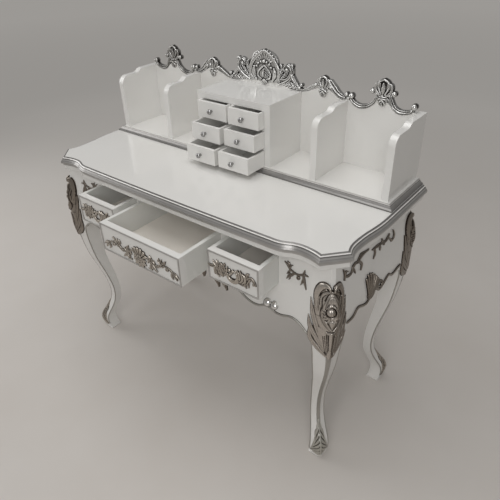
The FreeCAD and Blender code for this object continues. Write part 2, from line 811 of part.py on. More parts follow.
def centre_carving():
    """Flower between two trailing sprays, drawn on the drawer front."""
    face = drawn(in_xz, (0.0, drawer_bottom), centre_half_width, drawer_height)
    wires = [fan(face, (0.0, 22.0), (14.0, 60.0), 5)]
    for way in (-1.0, 1.0):
        vine = [(4.0, 44.0), (27.0, 33.0), (45.0, 59.0), (64.0, 43.0), (86.0, 61.0)]
        wires.append(ribbon(face, [(way * u, v) for u, v in vine], [8.0, 9.0, 9.0, 7.0, 3.0]))
        wires.append(leaf(face, (way * 5.0, 58.0), (way * 31.0, 82.0), 9.0))
        wires.append(leaf(face, (way * 28.0, 35.0), (way * 52.0, 22.0), 8.0))
        wires.append(leaf(face, (way * 47.0, 58.0), (way * 66.0, 78.0), 8.0))
        wires.append(leaf(face, (way * 64.0, 43.0), (way * 87.0, 26.0), 7.0))
    return across(wires, -carving_thickness, carving_thickness, Vector(0, 1, 0))


def side_drawer_carving(x_middle):
    """Twisting spray, heavier towards the middle of its drawer."""
    face = drawn(in_xz, (x_middle, drawer_bottom), small_width, drawer_height)
    vine = [(-36.0, 65.0), (-21.0, 46.0), (-5.0, 54.0), (12.0, 39.0), (26.0, 48.0), (34.0, 63.0)]
    wires = [ribbon(face, vine, [4.0, 7.0, 9.0, 9.0, 7.0, 4.0])]
    wires.append(leaf(face, (-20.0, 50.0), (-34.0, 33.0), 7.0))
    wires.append(leaf(face, (-5.0, 52.0), (8.0, 76.0), 8.0))
    wires.append(leaf(face, (10.0, 41.0), (30.0, 22.0), 8.0))
    return across(wires, -carving_thickness, carving_thickness, Vector(0, 1, 0))


# ---------------------------------------------------------------- gallery
def gallery_base():
    return box(-base_half_width, base_half_width, -base_depth, 0.0, desk_height, gallery_z)


def gallery_base_moulding():
    """Stepped moulding round the base's front and ends, cut square at the back."""
    def outline(out, z):
        x = base_half_width + out
        y = -base_depth - out
        return ring([Vector(-x, out, z), Vector(x, out, z), Vector(x, y, z), Vector(-x, y, z)])

    step = (base_out_bottom - base_out_top) / 2.0
    levels = [
        (base_out_bottom, 0.0), (base_out_bottom, base_foot_height),
        (base_out_top + step, base_foot_height + base_cove_height * 0.3),
        (base_out_top, base_foot_height + base_cove_height), (base_out_top, base_thickness),
    ]
    body = Part.makeLoft([outline(out, desk_height + rise) for out, rise in levels], True, True)
    return trim_back(body.cut(gallery_base()))


def gallery_panel(x0, x1):
    """Upright with a stepped top that falls to a rounded front."""
    low = panel_top - panel_drop
    step = -panel_front + panel_low_run
    edge = Outline(in_yz, 0.0, gallery_z)
    edge.line(0.0, panel_top)
    edge.line(step + panel_step_run, panel_top)
    edge.bend(step, low)
    edge.line(-panel_front + panel_nose_radius, low)
    edge.arc(-panel_front, low - panel_nose_radius)
    edge.line(-panel_front, gallery_z)
    return moved(slab(edge.wire(), Vector(x1 - x0, 0, 0)), x=x0)


def gallery_back():
    """Back board between the ends, its top edge cut in scallops under the cresting."""
    edge = drawn(in_xz, (0.0, panel_top), end_inner_x, scallop_rise)
    waves = [(97.0, 0.0), (90.2, -50.0), (85.0, 30.0), (79.5, 100.0), (74.5, 30.0), (67.0, -60.0),
             (60.0, 10.0), (54.5, 0.0), (48.0, 90.0), (43.0, 120.0), (38.0, 90.0), (28.0, 0.0), (16.0, 30.0)]

    def half(sign):
        points = [edge(sign * 100.0, -10.0)] + [edge(sign * u, v) for u, v in waves]
        return spline(points + [edge(0.0, 80.0)])

    right = half(1)
    left = half(-1)
    low_right = in_xz(end_inner_x, gallery_z)
    low_left = in_xz(-end_inner_x, gallery_z)
    rest = [
        Part.makeLine(edge(100.0, -10.0), low_right), Part.makeLine(low_right, low_left),
        Part.makeLine(low_left, edge(-100.0, -10.0)),
    ]
    wire = Part.Wire(Part.__sortEdges__([right, left] + rest))
    return moved(slab(wire, Vector(0, back_thickness, 0)), y=-back_face)


def nest_row_bottom(row):
    """Rows count from the bottom."""
    return gallery_z + row * (nest_row_height + nest_shelf)


def nest_sides():
    top = gallery_z + nest_height - nest_top
    side = box(nest_opening_half, nest_outer_x, -nest_front, -back_face, gallery_z, top)
    return [side, mirror_x(side)]


def nest_lid():
    top = gallery_z + nest_height
    return box(-nest_outer_x, nest_outer_x, -nest_front, -back_face, top - nest_top, top)


def nest_shelves():
    solids = []
    half = nest_partition / 2.0
    for row in range(3):
        low = nest_row_bottom(row)
        solids.append(box(-half, half, -nest_front, -back_face, low, low + nest_row_height))
        if row < 2:
            shelf = low + nest_row_height
            solids.append(box(-nest_opening_half, nest_opening_half, -nest_front, -back_face,
                              shelf, shelf + nest_shelf))
    return solids


def knob(x, y, z):
    """Turned knob: a narrow neck and a rounded, flattened head."""
    edge = Outline(in_xz, 0.0, 0.0)
    edge.line(knob_stem_radius, 0.0)
    edge.line(knob_stem_radius * 0.8, knob_length * 0.35)
    edge.line(knob_radius * 0.8, knob_length * 0.45)
    edge.line(knob_radius, knob_length * 0.66)
    edge.arc(knob_radius * 0.45, knob_length, heading=90.0)
    edge.line(0.0, knob_length)
    solid = Part.Face(edge.wire()).revolve(Vector(0, 0, 0), Vector(0, 0, 1), 360)
    solid.rotate(Vector(0, 0, 0), Vector(1, 0, 0), 90)
    return moved(solid, x, y, z)


def nest_drawer(name, row, sign, opened):
    near = nest_partition / 2.0 + nest_side_play
    far = nest_opening_half - nest_side_play
    x0, x1 = (near, far) if sign > 0 else (-far, -near)
    z0 = nest_row_bottom(row) + nest_play
    z1 = nest_row_bottom(row) + nest_row_height - nest_top_play
    front = nest_front + opened
    board = box(x0, x1, -front, -front + nest_front_thickness, z0, z1)
    boards = tray(x0, x1, front, nest_depth, z0, z1, nest_front_thickness, nest_wall, nest_floor, 0.0)
    export(name + "_small_drawer", [board] + boards)
    export(name + "_small_drawer_knob", knob((x0 + x1) / 2.0, -front, (z0 + z1) / 2.0))


# ---------------------------------------------------------------- cresting
def crest_face():
    """Points on the back board's face: hundredths of its half width and of the crest's height."""
    return drawn(in_xz, (0.0, panel_top), end_inner_x, crest_height)


def crest_plate(wires, back_board):
    """Stands on the board's edge, rebated over the front of it."""
    plate = across(wires, -back_face - crest_lip, crest_lip + crest_thickness, Vector(0, 1, 0))
    return plate.cut(back_board)


def crest_side(back_board):
    """Right half of the scrolls that run along the back board's edge."""
    face = crest_face()
    lines = [
        ([(98.0, 10.0), (96.6, 3.0), (93.9, -3.6), (90.2, -5.4), (86.5, 5.4), (84.5, 21.6)],
         [0.9, 1.0, 1.1, 1.3, 1.2, 1.0]),
        ([(76.3, 19.8), (74.3, 5.4), (70.8, -5.9), (66.3, -9.0), (62.7, -3.2), (61.0, 6.0)],
         [1.0, 1.2, 1.2, 1.2, 1.1, 0.9]),
        ([(56.9, 8.0), (52.4, 14.0), (49.6, 23.4), (46.7, 35.1)], [1.1, 1.5, 1.9, 2.0]),
        ([(39.6, 24.0), (37.3, 20.5), (33.3, 13.5), (29.4, 6.5), (26.5, 8.0)], [1.0, 1.2, 1.1, 1.0, 1.2]),
        ([(27.0, 10.0), (22.0, 11.0), (16.7, 11.5), (9.0, 12.6)], [1.2, 1.8, 2.0, 2.0]),
    ]
    wires = [ribbon(face, points, [crest_band * share for share in widths]) for points, widths in lines]
    for u, v in ((98.2, 13.5), (61.2, 14.4), (58.3, 14.4), (27.0, 14.0)):
        wires.append(disc(face(u, v), crest_ball_radius))
    return crest_plate(wires, back_board)


def crest_finial(back_board, u, low, high, half):
    """Upright leaf with two side lobes."""
    face = crest_face()
    wires = [leaf(face, (u, low), (u, high), half * 1.25)]
    middle = low + (high - low) * 0.5
    reach = half * 100.0 / end_inner_x
    for way in (-1.0, 1.0):
        wires.append(leaf(face, (u, low + 4.0), (u + way * reach, middle + 8.0), half * 0.7))
        wires.append(disc(face(u + way * reach * 0.9, middle), half * 0.3))
    return crest_plate(wires, back_board)


def crest_cartouche(back_board):
    """Crowned shield between two upright scrolls."""
    face = crest_face()
    shield = Outline(face, 0.0, 2.7)
    shield.arc(11.0, 38.0, heading=5.0)
    shield.arc(9.0, 67.6)
    shield.arc(0.0, 100.0, heading=125.0)
    wires = [twin(shield)]
    for way in (-1.0, 1.0):
        stem = [(way * 11.8, 12.0), (way * 16.7, 21.6), (way * 20.2, 37.8), (way * 19.6, 55.0)]
        wires.append(ribbon(face, stem, [crest_band * share for share in (2.0, 2.2, 1.8, 1.4)]))
        wires.append(disc(face(way * 17.6, 55.9), crest_band * 1.6))
        wires.append(leaf(face, (way * 8.0, 20.0), (way * 15.3, 60.0), crest_band * 2.2))
    return crest_plate(wires, back_board)


# ---------------------------------------------------------------- the whole desk
def build_carcass():
    export("desktop", desktop())
    export("desktop_edge_moulding", desktop_edge_moulding())
    export("top_frame", top_frame())
    export("glue_blocks", glue_blocks())
    right_leg = leg()
    names = ["leg_front_right", "leg_front_left", "leg_rear_right", "leg_rear_left"]
    for name, shape in zip(names, four(right_leg)):
        export(name, shape)
    export("knee_carvings", four(knee_carving(right_leg)))
    export("foot_carvings", four(foot_leaf(right_leg)))

    shoulder = apron_shoulder()
    lower = front_lower_apron()
    export("front_apron_ends", [shoulder, mirror_x(shoulder)])
    export("front_lower_apron", lower)
    export("front_top_rail", front_top_rail())
    export("drawer_stiles", drawer_stiles())
    side = side_apron()
    export("side_apron_right", side)
    export("side_apron_left", mirror_x(side))
    export("back_apron", back_apron())
    export("drawer_runners", drawer_runners())
    export("drawer_kickers", drawer_kickers())

    carvings = side_carvings(side)
    export("side_carvings", carvings + [mirror_x(shape) for shape in carvings])
    sprays = front_sprays(shoulder)
    ornaments = [sprays] + apron_balls(lower, shoulder)
    export("front_carvings", ornaments + [mirror_x(shape) for shape in ornaments] + [centre_ornament(lower)])


def build_gallery():
    export("gallery_base", gallery_base())
    export("gallery_base_moulding", gallery_base_moulding())
    end = gallery_panel(end_outer_x - panel_thickness, end_outer_x)
    divider = gallery_panel(divider_x - panel_thickness / 2.0, divider_x + panel_thickness / 2.0)
    back = gallery_back()
    divider = divider.cut(box(-desk_half_width, desk_half_width, -back_face, 0.0, 0.0, 2.0 * desk_height))
    export("gallery_end_right", end)
    export("gallery_end_left", mirror_x(end))
    export("gallery_divider_right", divider)
    export("gallery_divider_left", mirror_x(divider))
    export("gallery_back", back)
    export("small_drawer_case_sides", nest_sides())
    export("small_drawer_case_top", nest_lid())
    export("small_drawer_case_shelves", nest_shelves())

    side = crest_side(back)
    centre = crest_cartouche(back)
    outer = crest_finial(back, 80.0, 1.8, 67.6, crest_band * 3.0)
    inner = crest_finial(back, 42.8, 0.0, 51.5, crest_band * 2.4)
    side = side.cut(centre).cut(outer).cut(inner).cut(divider)
    export("crest_scrolls_right", side)
    export("crest_scrolls_left", mirror_x(side))
    export("crest_cartouche", centre)
    finials = [outer, inner]
    export("crest_finials", finials + [mirror_x(shape) for shape in finials])


def build_drawers():
    small_middle = (small_inner_x + small_outer_x) / 2.0
    apron_drawer("centre", -centre_half_width, centre_half_width, centre_open, centre_carving())
    right_carving = side_drawer_carving(small_middle)
    apron_drawer("right", small_inner_x, small_outer_x, right_open, right_carving)
    apron_drawer("left", -small_outer_x, -small_inner_x, left_open, mirror_x(right_carving))
    for row, level in enumerate(("bottom", "middle", "top")):
        for hand, sign in (("left", -1), ("right", 1)):
            name = level + "_" + hand
            nest_drawer(name, row, sign, nest_open[name])


os.makedirs("parts", exist_ok=True)
build_carcass()
build_gallery()
build_drawers()
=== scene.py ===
import json
import math

import bpy
import numpy as np
from mathutils import Matrix, Vector
from mathutils.bvhtree import BVHTree


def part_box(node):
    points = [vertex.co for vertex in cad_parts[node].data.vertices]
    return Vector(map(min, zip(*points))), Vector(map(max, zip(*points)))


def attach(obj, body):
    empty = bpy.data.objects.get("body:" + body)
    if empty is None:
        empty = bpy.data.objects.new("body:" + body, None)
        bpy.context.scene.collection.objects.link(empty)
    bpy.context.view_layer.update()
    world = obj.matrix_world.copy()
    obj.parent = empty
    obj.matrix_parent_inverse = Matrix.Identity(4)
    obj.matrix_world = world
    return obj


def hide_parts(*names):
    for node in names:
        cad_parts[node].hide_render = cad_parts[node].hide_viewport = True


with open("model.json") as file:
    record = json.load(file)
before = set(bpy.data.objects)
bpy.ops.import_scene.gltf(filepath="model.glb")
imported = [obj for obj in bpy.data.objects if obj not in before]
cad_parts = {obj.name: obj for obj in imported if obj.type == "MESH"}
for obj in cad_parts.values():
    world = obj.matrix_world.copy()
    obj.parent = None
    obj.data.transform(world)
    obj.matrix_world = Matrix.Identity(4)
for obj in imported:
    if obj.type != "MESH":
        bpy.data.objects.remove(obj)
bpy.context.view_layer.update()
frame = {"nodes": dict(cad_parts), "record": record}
NODES = frame["nodes"]

# Carving is drawn in millimetres, measured as the desk is: x from its middle, y from its
# back edge (negative forward), z from the floor.
MM = 0.001
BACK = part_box("desktop")[1].y
BOARD_FACE = (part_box("gallery_back")[0].y - BACK) / MM
CREST_SHIFT = 3.5  # how far the crest is set into the board, and its back brought forward
CREST_BACK = (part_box("crest_cartouche")[1].y - BACK) / MM - CREST_SHIFT
UP = Vector((0, 0, 1))
FRONT = Vector((0, -1, 0))

# ---- the photograph's camera, measured from the desk's back edge on the floor
CAMERA_PLACE = (0.99991, BACK - 1.35036, 1.45046)
CAMERA_YAW = math.radians(39.23)
CAMERA_PITCH = math.radians(33.46)
CAMERA_ROLL = math.radians(-1.89)
CAMERA_LENS = 36.74


def make_camera():
    data = bpy.data.cameras.new("photo_camera")
    data.lens = CAMERA_LENS
    data.sensor_width = 36.0
    camera = bpy.data.objects.new("photo_camera", data)
    matrix = Matrix.Translation(CAMERA_PLACE)
    for turn, axis in ((CAMERA_YAW, "Z"), (math.pi / 2.0 - CAMERA_PITCH, "X"), (CAMERA_ROLL, "Z")):
        matrix = matrix @ Matrix.Rotation(turn, 4, axis)
    camera.matrix_world = matrix
    bpy.context.scene.collection.objects.link(camera)
    bpy.context.scene.camera = camera


# ---- carving
FAR = 99.0  # mm: further than any carving reaches
LEAST_HEIGHT = 0.25
BACK_SHADE = 0.3


def smooth_line(points, spacing=0.6):
    """Points of a curve through the given ones, evenly spaced, with the share run at each."""
    points = np.array(points, float)
    padded = np.vstack([2 * points[0] - points[1], points, 2 * points[-1] - points[-2]])
    run = []
    for i in range(len(points) - 1):
        p0, p1, p2, p3 = padded[i:i + 4]
        count = max(4, int(np.hypot(*(p2 - p1)[:2]) / spacing))
        t = np.linspace(0.0, 1.0, count, endpoint=False)[:, None]
        run.append(0.5 * (2 * p1 + (p2 - p0) * t + (2 * p0 - 5 * p1 + 4 * p2 - p3) * t ** 2
                          + (3 * p1 - p0 - 3 * p2 + p3) * t ** 3))
    return np.vstack(run + [points[-1:]])


def turned(u, v, degrees, reach, tall=None):
    """The point at a turn and a reach from (u, v); tall is the reach upward where it differs."""
    turn = math.radians(degrees)
    return u + reach * math.cos(turn), v + (tall or reach) * math.sin(turn)


class Relief:
    """Carving over a sheet: each form gives, at points (u, v), a distance inside and a height."""

    def __init__(self, step=0.9, swell=1.0):
        self.step = step
        self.swell = swell
        self.forms = []
        self.pits = []
        self.middle = 0.0
        self.way = 1.0

    def hands(self):
        """For a loop: what it draws is drawn mirrored at first, and then as it is given."""
        for self.way in (-1.0, 1.0):
            yield self.way

    def across(self, u):
        """Where a drawn u lies on the sheet."""
        return self.middle + self.way * u

    def add(self, u, v, half_u, half_v, shape):
        """Keep a form, with the box that it lies in."""
        reach = np.array((half_u, half_v)) + 2.0 * self.step
        self.forms.append((np.array((u, v)) - reach, np.array((u, v)) + reach, shape))

    def stroke(self, points, widths, high, ridges=0, cut=0.5, edge=0.3, lobes=0, veins=0):
        """A band along a line. Its width tapers, and it may have ridges, lobes and veins."""
        line = smooth_line([(self.across(u), v, w) for (u, v), w in zip(points, widths)])
        place = line[:, :2]
        wide = np.maximum(line[:, 2] * self.swell / 2.0, 0.15)
        share = np.linspace(0.0, 1.0, len(line))
        if lobes:
            wide = wide * (0.84 + 0.3 * np.abs(np.sin(math.pi * lobes * share)))
        ahead = np.gradient(place, axis=0)
        ahead /= np.maximum(np.linalg.norm(ahead, axis=1, keepdims=True), 1e-9)

        def shape(u, v):
            near = np.zeros(u.shape, int)
            best = np.full(u.shape, FAR)
            reach = wide.max() + 2.5 * self.step
            for i, (cu, cv) in enumerate(place):
                i0 = max(int((cu - reach - u[0, 0]) / self.step), 0)
                j0 = max(int((cv - reach - v[0, 0]) / self.step), 0)
                size = int(2.0 * reach / self.step) + 3
                part = (slice(i0, i0 + size), slice(j0, j0 + size))
                away = np.hypot(u[part] - cu, v[part] - cv) - wide[i]
                closer = away < best[part]
                best[part] = np.where(closer, away, best[part])
                near[part] = np.where(closer, i, near[part])
            du = u - place[near, 0]
            dv = v - place[near, 1]
            across = (du * -ahead[near, 1] + dv * ahead[near, 0]) / wide[near]
            out = np.clip(np.hypot(du, dv) / wide[near], 0, 1)
            height = edge + (1.0 - edge) * np.sqrt(1.0 - out ** 2)
            if ridges:
                wave = 0.5 - 0.5 * np.cos(math.pi * ridges * (np.clip(across, -1, 1) + 1.0))
                height = height * (1.0 - cut * wave)
            if veins:
                wave = 0.5 - 0.5 * np.cos(2.0 * math.pi * (veins * share[near] - 0.9 * out))
                height = height * (1.0 - cut * wave ** 2)
            return -best, high * height

        reach = wide.max() + 2.0 * self.step
        self.forms.append((place.min(axis=0) - reach, place.max(axis=0) + reach, shape))

    def ball(self, u, v, radius, high, stretch=1.0):
        u = self.across(u)

        def shape(gu, gv):
            out = np.hypot(gu - u, (gv - v) / stretch) / radius
            height = 0.25 + 0.75 * np.sqrt(1.0 - np.clip(out, 0, 1) ** 2)
            return (1.0 - out) * radius, high * height

        reach = radius * max(1.0, stretch)
        self.add(u, v, reach, reach, shape)

    def balls(self, rows):
        """Several balls: u, v, radius and height of each."""
        for row in rows:
            self.ball(*row)

    def ring(self, u, v, radius, thick, high, stretch=1.0):
        """A round band; its ends meet on the right, mirrored or not."""
        points = [turned(u, v, 22.5 * i, self.way * radius, radius * stretch) for i in range(17)]
        self.stroke(points, [thick] * len(points), high)

    def fan(self, u, v, radius, lean, spread, ribs, high):
        """A shell: ribs that part from a foot, with a scalloped edge."""
        u = self.across(u)
        lean = math.radians(lean)
        spread = math.radians(spread)

        def shape(gu, gv):
            reach = np.hypot(gu - u, gv - v)
            turn = np.arctan2(gv - v, gu - u) - lean
            turn = np.arctan2(np.sin(turn), np.cos(turn))
            place = np.clip(turn / spread, -1.0, 1.0)
            wave = np.abs(np.cos(math.pi * ribs * 0.5 * (place + 1.0) + math.pi * 0.5))
            rim = radius * (0.9 + 0.1 * wave)
            inside = np.minimum(rim - reach, (spread - np.abs(turn)) * np.maximum(reach, 1.0))
            share = np.clip(reach / radius, 0, 1)
            height = high * (0.35 + 0.65 * share) * (0.45 + 0.55 * wave)
            height = height * np.clip((rim - reach) / 2.5, 0.35, 1.0)
            return inside, height

        self.add(u, v, radius, radius, shape)

    def pad(self, u, v, half_u, half_v, high, edge=0.2, power=2.0):
        """A low dome under other carving."""
        u = self.across(u)

        def shape(gu, gv):
            out = np.abs((gu - u) / half_u) ** power + np.abs((gv - v) / half_v) ** power
            out = out ** (1.0 / power)
            height = edge + (1.0 - edge) * np.sqrt(1.0 - np.clip(out, 0, 1) ** 2)
            return (1.0 - out) * min(half_u, half_v), high * height

        self.add(u, v, half_u, half_v, shape)

    def strokes(self, high, rows, **how):
        """Several bands of one kind: the widths of each, and its points."""
        for widths, *points in rows:
            self.stroke(points, widths, high, **how)

    def leaves(self, high, rows):
        """Pointed leaves with a midrib: the width of each, and its points from foot to tip."""
        for wide, *points in rows:
            shares = [min(1.0, 0.2 + 0.9 * i / (len(points) - 1)) for i in range(len(points))]
            widths = [wide * (0.45 + 0.55 * math.sin(math.pi * share)) for share in shares]
            widths[-1] = 1.0
            self.stroke(points, widths, high, ridges=2, cut=0.4)

    def pit(self, u, v, radius, deep):
        self.pits.append((np.array([(self.across(u), v)]), radius, deep))

    def groove(self, points, wide, deep):
        points = [(self.across(u), v) for u, v in points]
        self.pits.append((smooth_line(points), wide, deep))

    def window(self, grid_u, grid_v, lo, hi):
        """The part of the grid that covers a box."""
        start = (grid_u[0, 0], grid_v[0, 0])
        i0, j0 = np.maximum(((lo - start) / self.step).astype(int), 0)
        i1, j1 = ((hi - start) / self.step).astype(int) + 2
        return slice(i0, i1), slice(j0, j1)

    def dig(self, grid_u, grid_v, height):
        """Take the pits and grooves out of the height."""
        for line, wide, deep in self.pits:
            reach = 3.0 * wide
            part = self.window(grid_u, grid_v, line.min(axis=0) - reach, line.max(axis=0) + reach)
            gap = np.full(grid_u[part].shape, FAR)
            for u, v in line:
                gap = np.minimum(gap, np.hypot(grid_u[part] - u, grid_v[part] - v))
            height[part] -= deep * np.exp(-(gap / wide) ** 2)

    def grid(self, step, margin):
        """Steps along u and along v over all the forms, with a margin."""
        lo = np.min([form[0] for form in self.forms], axis=0) - margin
        hi = np.max([form[1] for form in self.forms], axis=0) + margin
        return [np.arange(a, b + step, step) for a, b in zip(lo, hi)]

    def fields(self):
        """Over a grid: u, v, the distance inside the carving, and its height."""
        grid_u, grid_v = np.meshgrid(*self.grid(self.step, 0.0), indexing="ij")
        inside = np.full(grid_u.shape, -FAR)
        rank = inside.copy()  # within forms the highest counts, outside them the nearest
        height = np.zeros(grid_u.shape)
        for lo, hi, shape in self.forms:
            part = self.window(grid_u, grid_v, lo, hi)
            d, h = shape(grid_u[part], grid_v[part])
            key = np.where(d > 0.0, 100.0 + h, d)
            better = key > rank[part]
            height[part] = np.where(better, h, height[part])
            rank[part] = np.maximum(rank[part], key)
            inside[part] = np.maximum(inside[part], d)
        self.dig(grid_u, grid_v, height)
        return grid_u, grid_v, inside, np.maximum(height, LEAST_HEIGHT)


def blurred(field, reach):
    """Mean over a square window."""
    size = 2 * reach + 1
    for axis in (0, 1):
        pad = [(0, 0), (0, 0)]
        pad[axis] = (reach + 1, reach)
        total = np.cumsum(np.pad(field, pad, mode="edge"), axis=axis)
        count = field.shape[axis]
        ahead = np.take(total, range(size, size + count), axis=axis)
        behind = np.take(total, range(0, count), axis=axis)
        field = (ahead - behind) / size
    return field


def hollows(inside, height):
    """How deep each point lies between higher ones, 0 to 1, looked at closely and broadly."""
    low = np.where(inside > 0.0, height, height * 0.6)
    # The fine measure finds narrow hollows, where the silver's dark patina lies; the broad one finds wide
    # low areas, which it darkens as painted shade.
    fine = np.clip((blurred(low, 3) - height) / 1.6, 0, 1)
    broad = np.clip((blurred(low, 9) - height) / 5.0, 0, 1)
    return np.clip(fine + 0.8 * broad + 0.08, 0, 1)


def new_piece(name, points, faces, material, smooth=True):
    """A mesh object in the scene, with its material."""
    mesh = bpy.data.meshes.new(name)
    mesh.from_pydata(points, [], faces)
    mesh.polygons.foreach_set("use_smooth", [smooth] * len(faces))
    mesh.update()
    piece = bpy.data.objects.new(name, mesh)
    bpy.context.scene.collection.objects.link(piece)
    mesh.materials.append(material)
    return piece


def carve(name, relief, place, material, floor, replaces=(), body="carcass", closed=False,
          rim_shade=0.45, ease=0):
    """Make a piece from a relief. place(u, v, h) gives points in mm for arrays. Its walls go
    down to the height "floor", and a closed piece has a back there."""
    u, v, inside, height = relief.fields()
    corners = [inside[:-1, :-1], inside[1:, :-1], inside[:-1, 1:], inside[1:, 1:]]
    keep = np.maximum.reduce(corners) > 0.0
    slope_u, slope_v = np.gradient(inside, relief.step)
    steep = np.maximum(np.hypot(slope_u, slope_v), 0.5)
    outside = np.where((inside < 0.0) & (inside > -2.0 * relief.step), -inside, 0.0)
    u = u + outside * slope_u / steep ** 2
    v = v + outside * slope_v / steep ** 2
    hollow = hollows(inside, height)
    if ease:
        height = blurred(height, ease)

    used = np.zeros(u.shape, bool)
    for di in (0, 1):
        for dj in (0, 1):
            used[di:di + keep.shape[0], dj:dj + keep.shape[1]] |= keep
    count = used.sum()
    index = np.full(u.shape, -1)
    index[used] = np.arange(count)
    u, v, height, hollow = u[used], v[used], height[used], hollow[used]
    top = place(u, v, height)
    base = place(u, v, np.full(count, floor))
    ci, cj = np.nonzero(keep)
    quads = [index[ci, cj], index[ci + 1, cj], index[ci + 1, cj + 1], index[ci, cj + 1]]
    quads = np.stack(quads, axis=1)

    padded = np.pad(keep, 1)
    sides = []
    for di, dj, a, b in ((0, -1, 0, 1), (1, 0, 1, 2), (0, 1, 2, 3), (-1, 0, 3, 0)):
        open_side = ~padded[ci + 1 + di, cj + 1 + dj]
        sides.append(quads[open_side][:, [b, a]])
    sides = np.vstack(sides)
    rim = np.unique(sides)
    rim_index = np.full(count, -1)
    rim_index[rim] = np.arange(len(rim))
    walls = rim_index[sides] + count
    faces = [quads, np.hstack([walls, walls[:, ::-1] + len(rim)])]
    points = [top, top[rim], base[rim]]
    # The walls are darkened by rim_shade, most at their feet: painted shade along the outline of the
    # carving. A closed piece's back is darkened by BACK_SHADE, painted shade too.
    shade = [hollow, np.clip(hollow[rim] + rim_shade, 0, 1),
             np.full(len(rim), min(1.0, 1.9 * rim_shade))]
    if closed:
        faces.append(quads[:, ::-1] + count + 2 * len(rim))
        points.append(base)
        shade.append(np.full(count, BACK_SHADE))
    points = to_metres(np.vstack(points)).tolist()
    piece = new_piece(name, points, np.vstack(faces).tolist(), material)
    attribute = piece.data.attributes.new("hollow", "FLOAT", "POINT")
    attribute.data.foreach_set("value", np.concatenate(shade).astype(np.float32))
    face_out(piece.data, place, u, v, height)
    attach(piece, body)
    if replaces:
        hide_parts(*replaces)


def to_metres(points):
    """Build millimetres to metres; nothing stands out behind the desk's back."""
    points = points.copy()
    points[:, 1] = np.minimum(points[:, 1], 0.0)
    points *= MM
    points[:, 1] += BACK
    return points


def face_out(mesh, place, u, v, height):
    """Turn the faces so that they look away from what carries the carving."""
    start, end = (place(u[:1], v[:1], height[:1] + more)[0] for more in (0.0, 1.0))
    if mesh.polygons[0].normal.dot(Vector(end - start)) < 0.0:
        mesh.flip_normals()
    mesh.update()


# ---- sheets that the carving is laid on
RAY_REACH = 0.8  # m: rays start this far outside a sheet and end as far inside it
SHEET_STEP = 2.5


def tree_of(*names):
    """Ray tree over the meshes of some nodes, in metres."""
    points = []
    faces = []
    for name in names:
        mesh = NODES[name].data
        first = len(points)
        points += [vertex.co[:] for vertex in mesh.vertices]
        faces += [[first + i for i in face.vertices] for face in mesh.polygons]
    return BVHTree.FromPolygons(points, faces)


def depth_at(tree, start, u_axis, away, u, v):
    """How far along "away" a surface lies from a point of the sheet through start."""
    origin = start + u_axis * (u * MM) + UP * (v * MM)
    hit = tree.ray_cast(origin + away * RAY_REACH, -away, 2.0 * RAY_REACH)[0]
    return math.nan if hit is None else (hit - origin).dot(away) / MM


def depth_map(tree, start, u_axis, away, us, vs):
    """Those depths on a grid of points, with the gaps filled from what lies beside them."""
    depth = np.array([[depth_at(tree, start, u_axis, away, u, v) for v in vs] for u in us])
    for grid in (depth[:, ::-1], depth, depth[::-1].T, depth.T):
        for j in range(1, grid.shape[1]):
            gap = np.isnan(grid[:, j])
            grid[gap, j] = grid[gap, j - 1]
    return depth


def laid_on(tree, relief, start, u_axis, away, soften=0, lift=0.0):
    """A sheet that follows the surface of some nodes, seen along "away"."""
    us, vs = relief.grid(SHEET_STEP, 4.0)
    depth = depth_map(tree, start, u_axis, away, us, vs)
    if soften:
        depth = np.maximum(blurred(depth, soften) + lift, depth + 0.3)
    across = np.array(u_axis)
    along = np.array(UP)
    out = np.array(away)
    origin = (np.array(start) - np.array((0.0, BACK, 0.0))) / MM

    def place(u, v, h):
        fu = np.clip((u - us[0]) / SHEET_STEP, 0.0, len(us) - 1.001)
        fv = np.clip((v - vs[0]) / SHEET_STEP, 0.0, len(vs) - 1.001)
        i = fu.astype(int)
        j = fv.astype(int)
        a = fu - i
        b = fv - j
        deep = ((1 - a) * (1 - b) * depth[i, j] + a * (1 - b) * depth[i + 1, j]
                + (1 - a) * b * depth[i, j + 1] + a * b * depth[i + 1, j + 1])
        return origin + u[:, None] * across + v[:, None] * along + (deep + h)[:, None] * out

    return place


# ---- cresting
def crest_run(way):
    """Scrolls of one side, from the end of the board to the cartouche."""
    relief = Relief(0.9)
    relief.way = way
    relief.strokes(8, [
        ([9, 11, 12, 14, 13, 11, 9], (499, 996), (493, 988), (479, 983), (460, 982), (443, 992),
         (433, 1010), (430, 1020)),
        ([9, 11, 12, 13, 12, 11, 9], (390, 1012), (382, 996), (363, 982), (340, 977.5), (322, 984),
         (312, 994), (309, 1000))], ridges=2, cut=0.45)
    relief.balls([
        (501, 1003, 8.5, 11), (495, 992, 4, 9), (312, 1003, 8.5, 11), (296, 1005, 6.5, 9.5),
        (302, 995, 5.5, 8), (140, 1007, 5.5, 8), (134, 998, 5.5, 8.5)])
    strip = [(290, 996), (278, 997), (265, 1004), (252, 1016), (240, 1030)]
    relief.stroke(strip, [9, 13, 17, 20, 16], 8, ridges=2)
    wing = [(200, 1018), (186, 1013), (170, 1004), (153, 995), (141, 993), (134, 998)]
    relief.stroke(wing, [9, 10, 10, 9, 8, 6], 7, ridges=1, cut=0.4)
    base = [(134, 994), (120, 999), (104, 1001), (86, 1001), (66, 1000), (50, 1000)]
    relief.stroke(base, [8, 13, 16, 17, 15, 14], 6, veins=7, lobes=6)
    rising = [(132, 1000), (122, 1008), (112, 1019), (104, 1030)]
    relief.stroke(rising, [5, 9, 12, 13], 8, ridges=2, cut=0.4)
    return relief


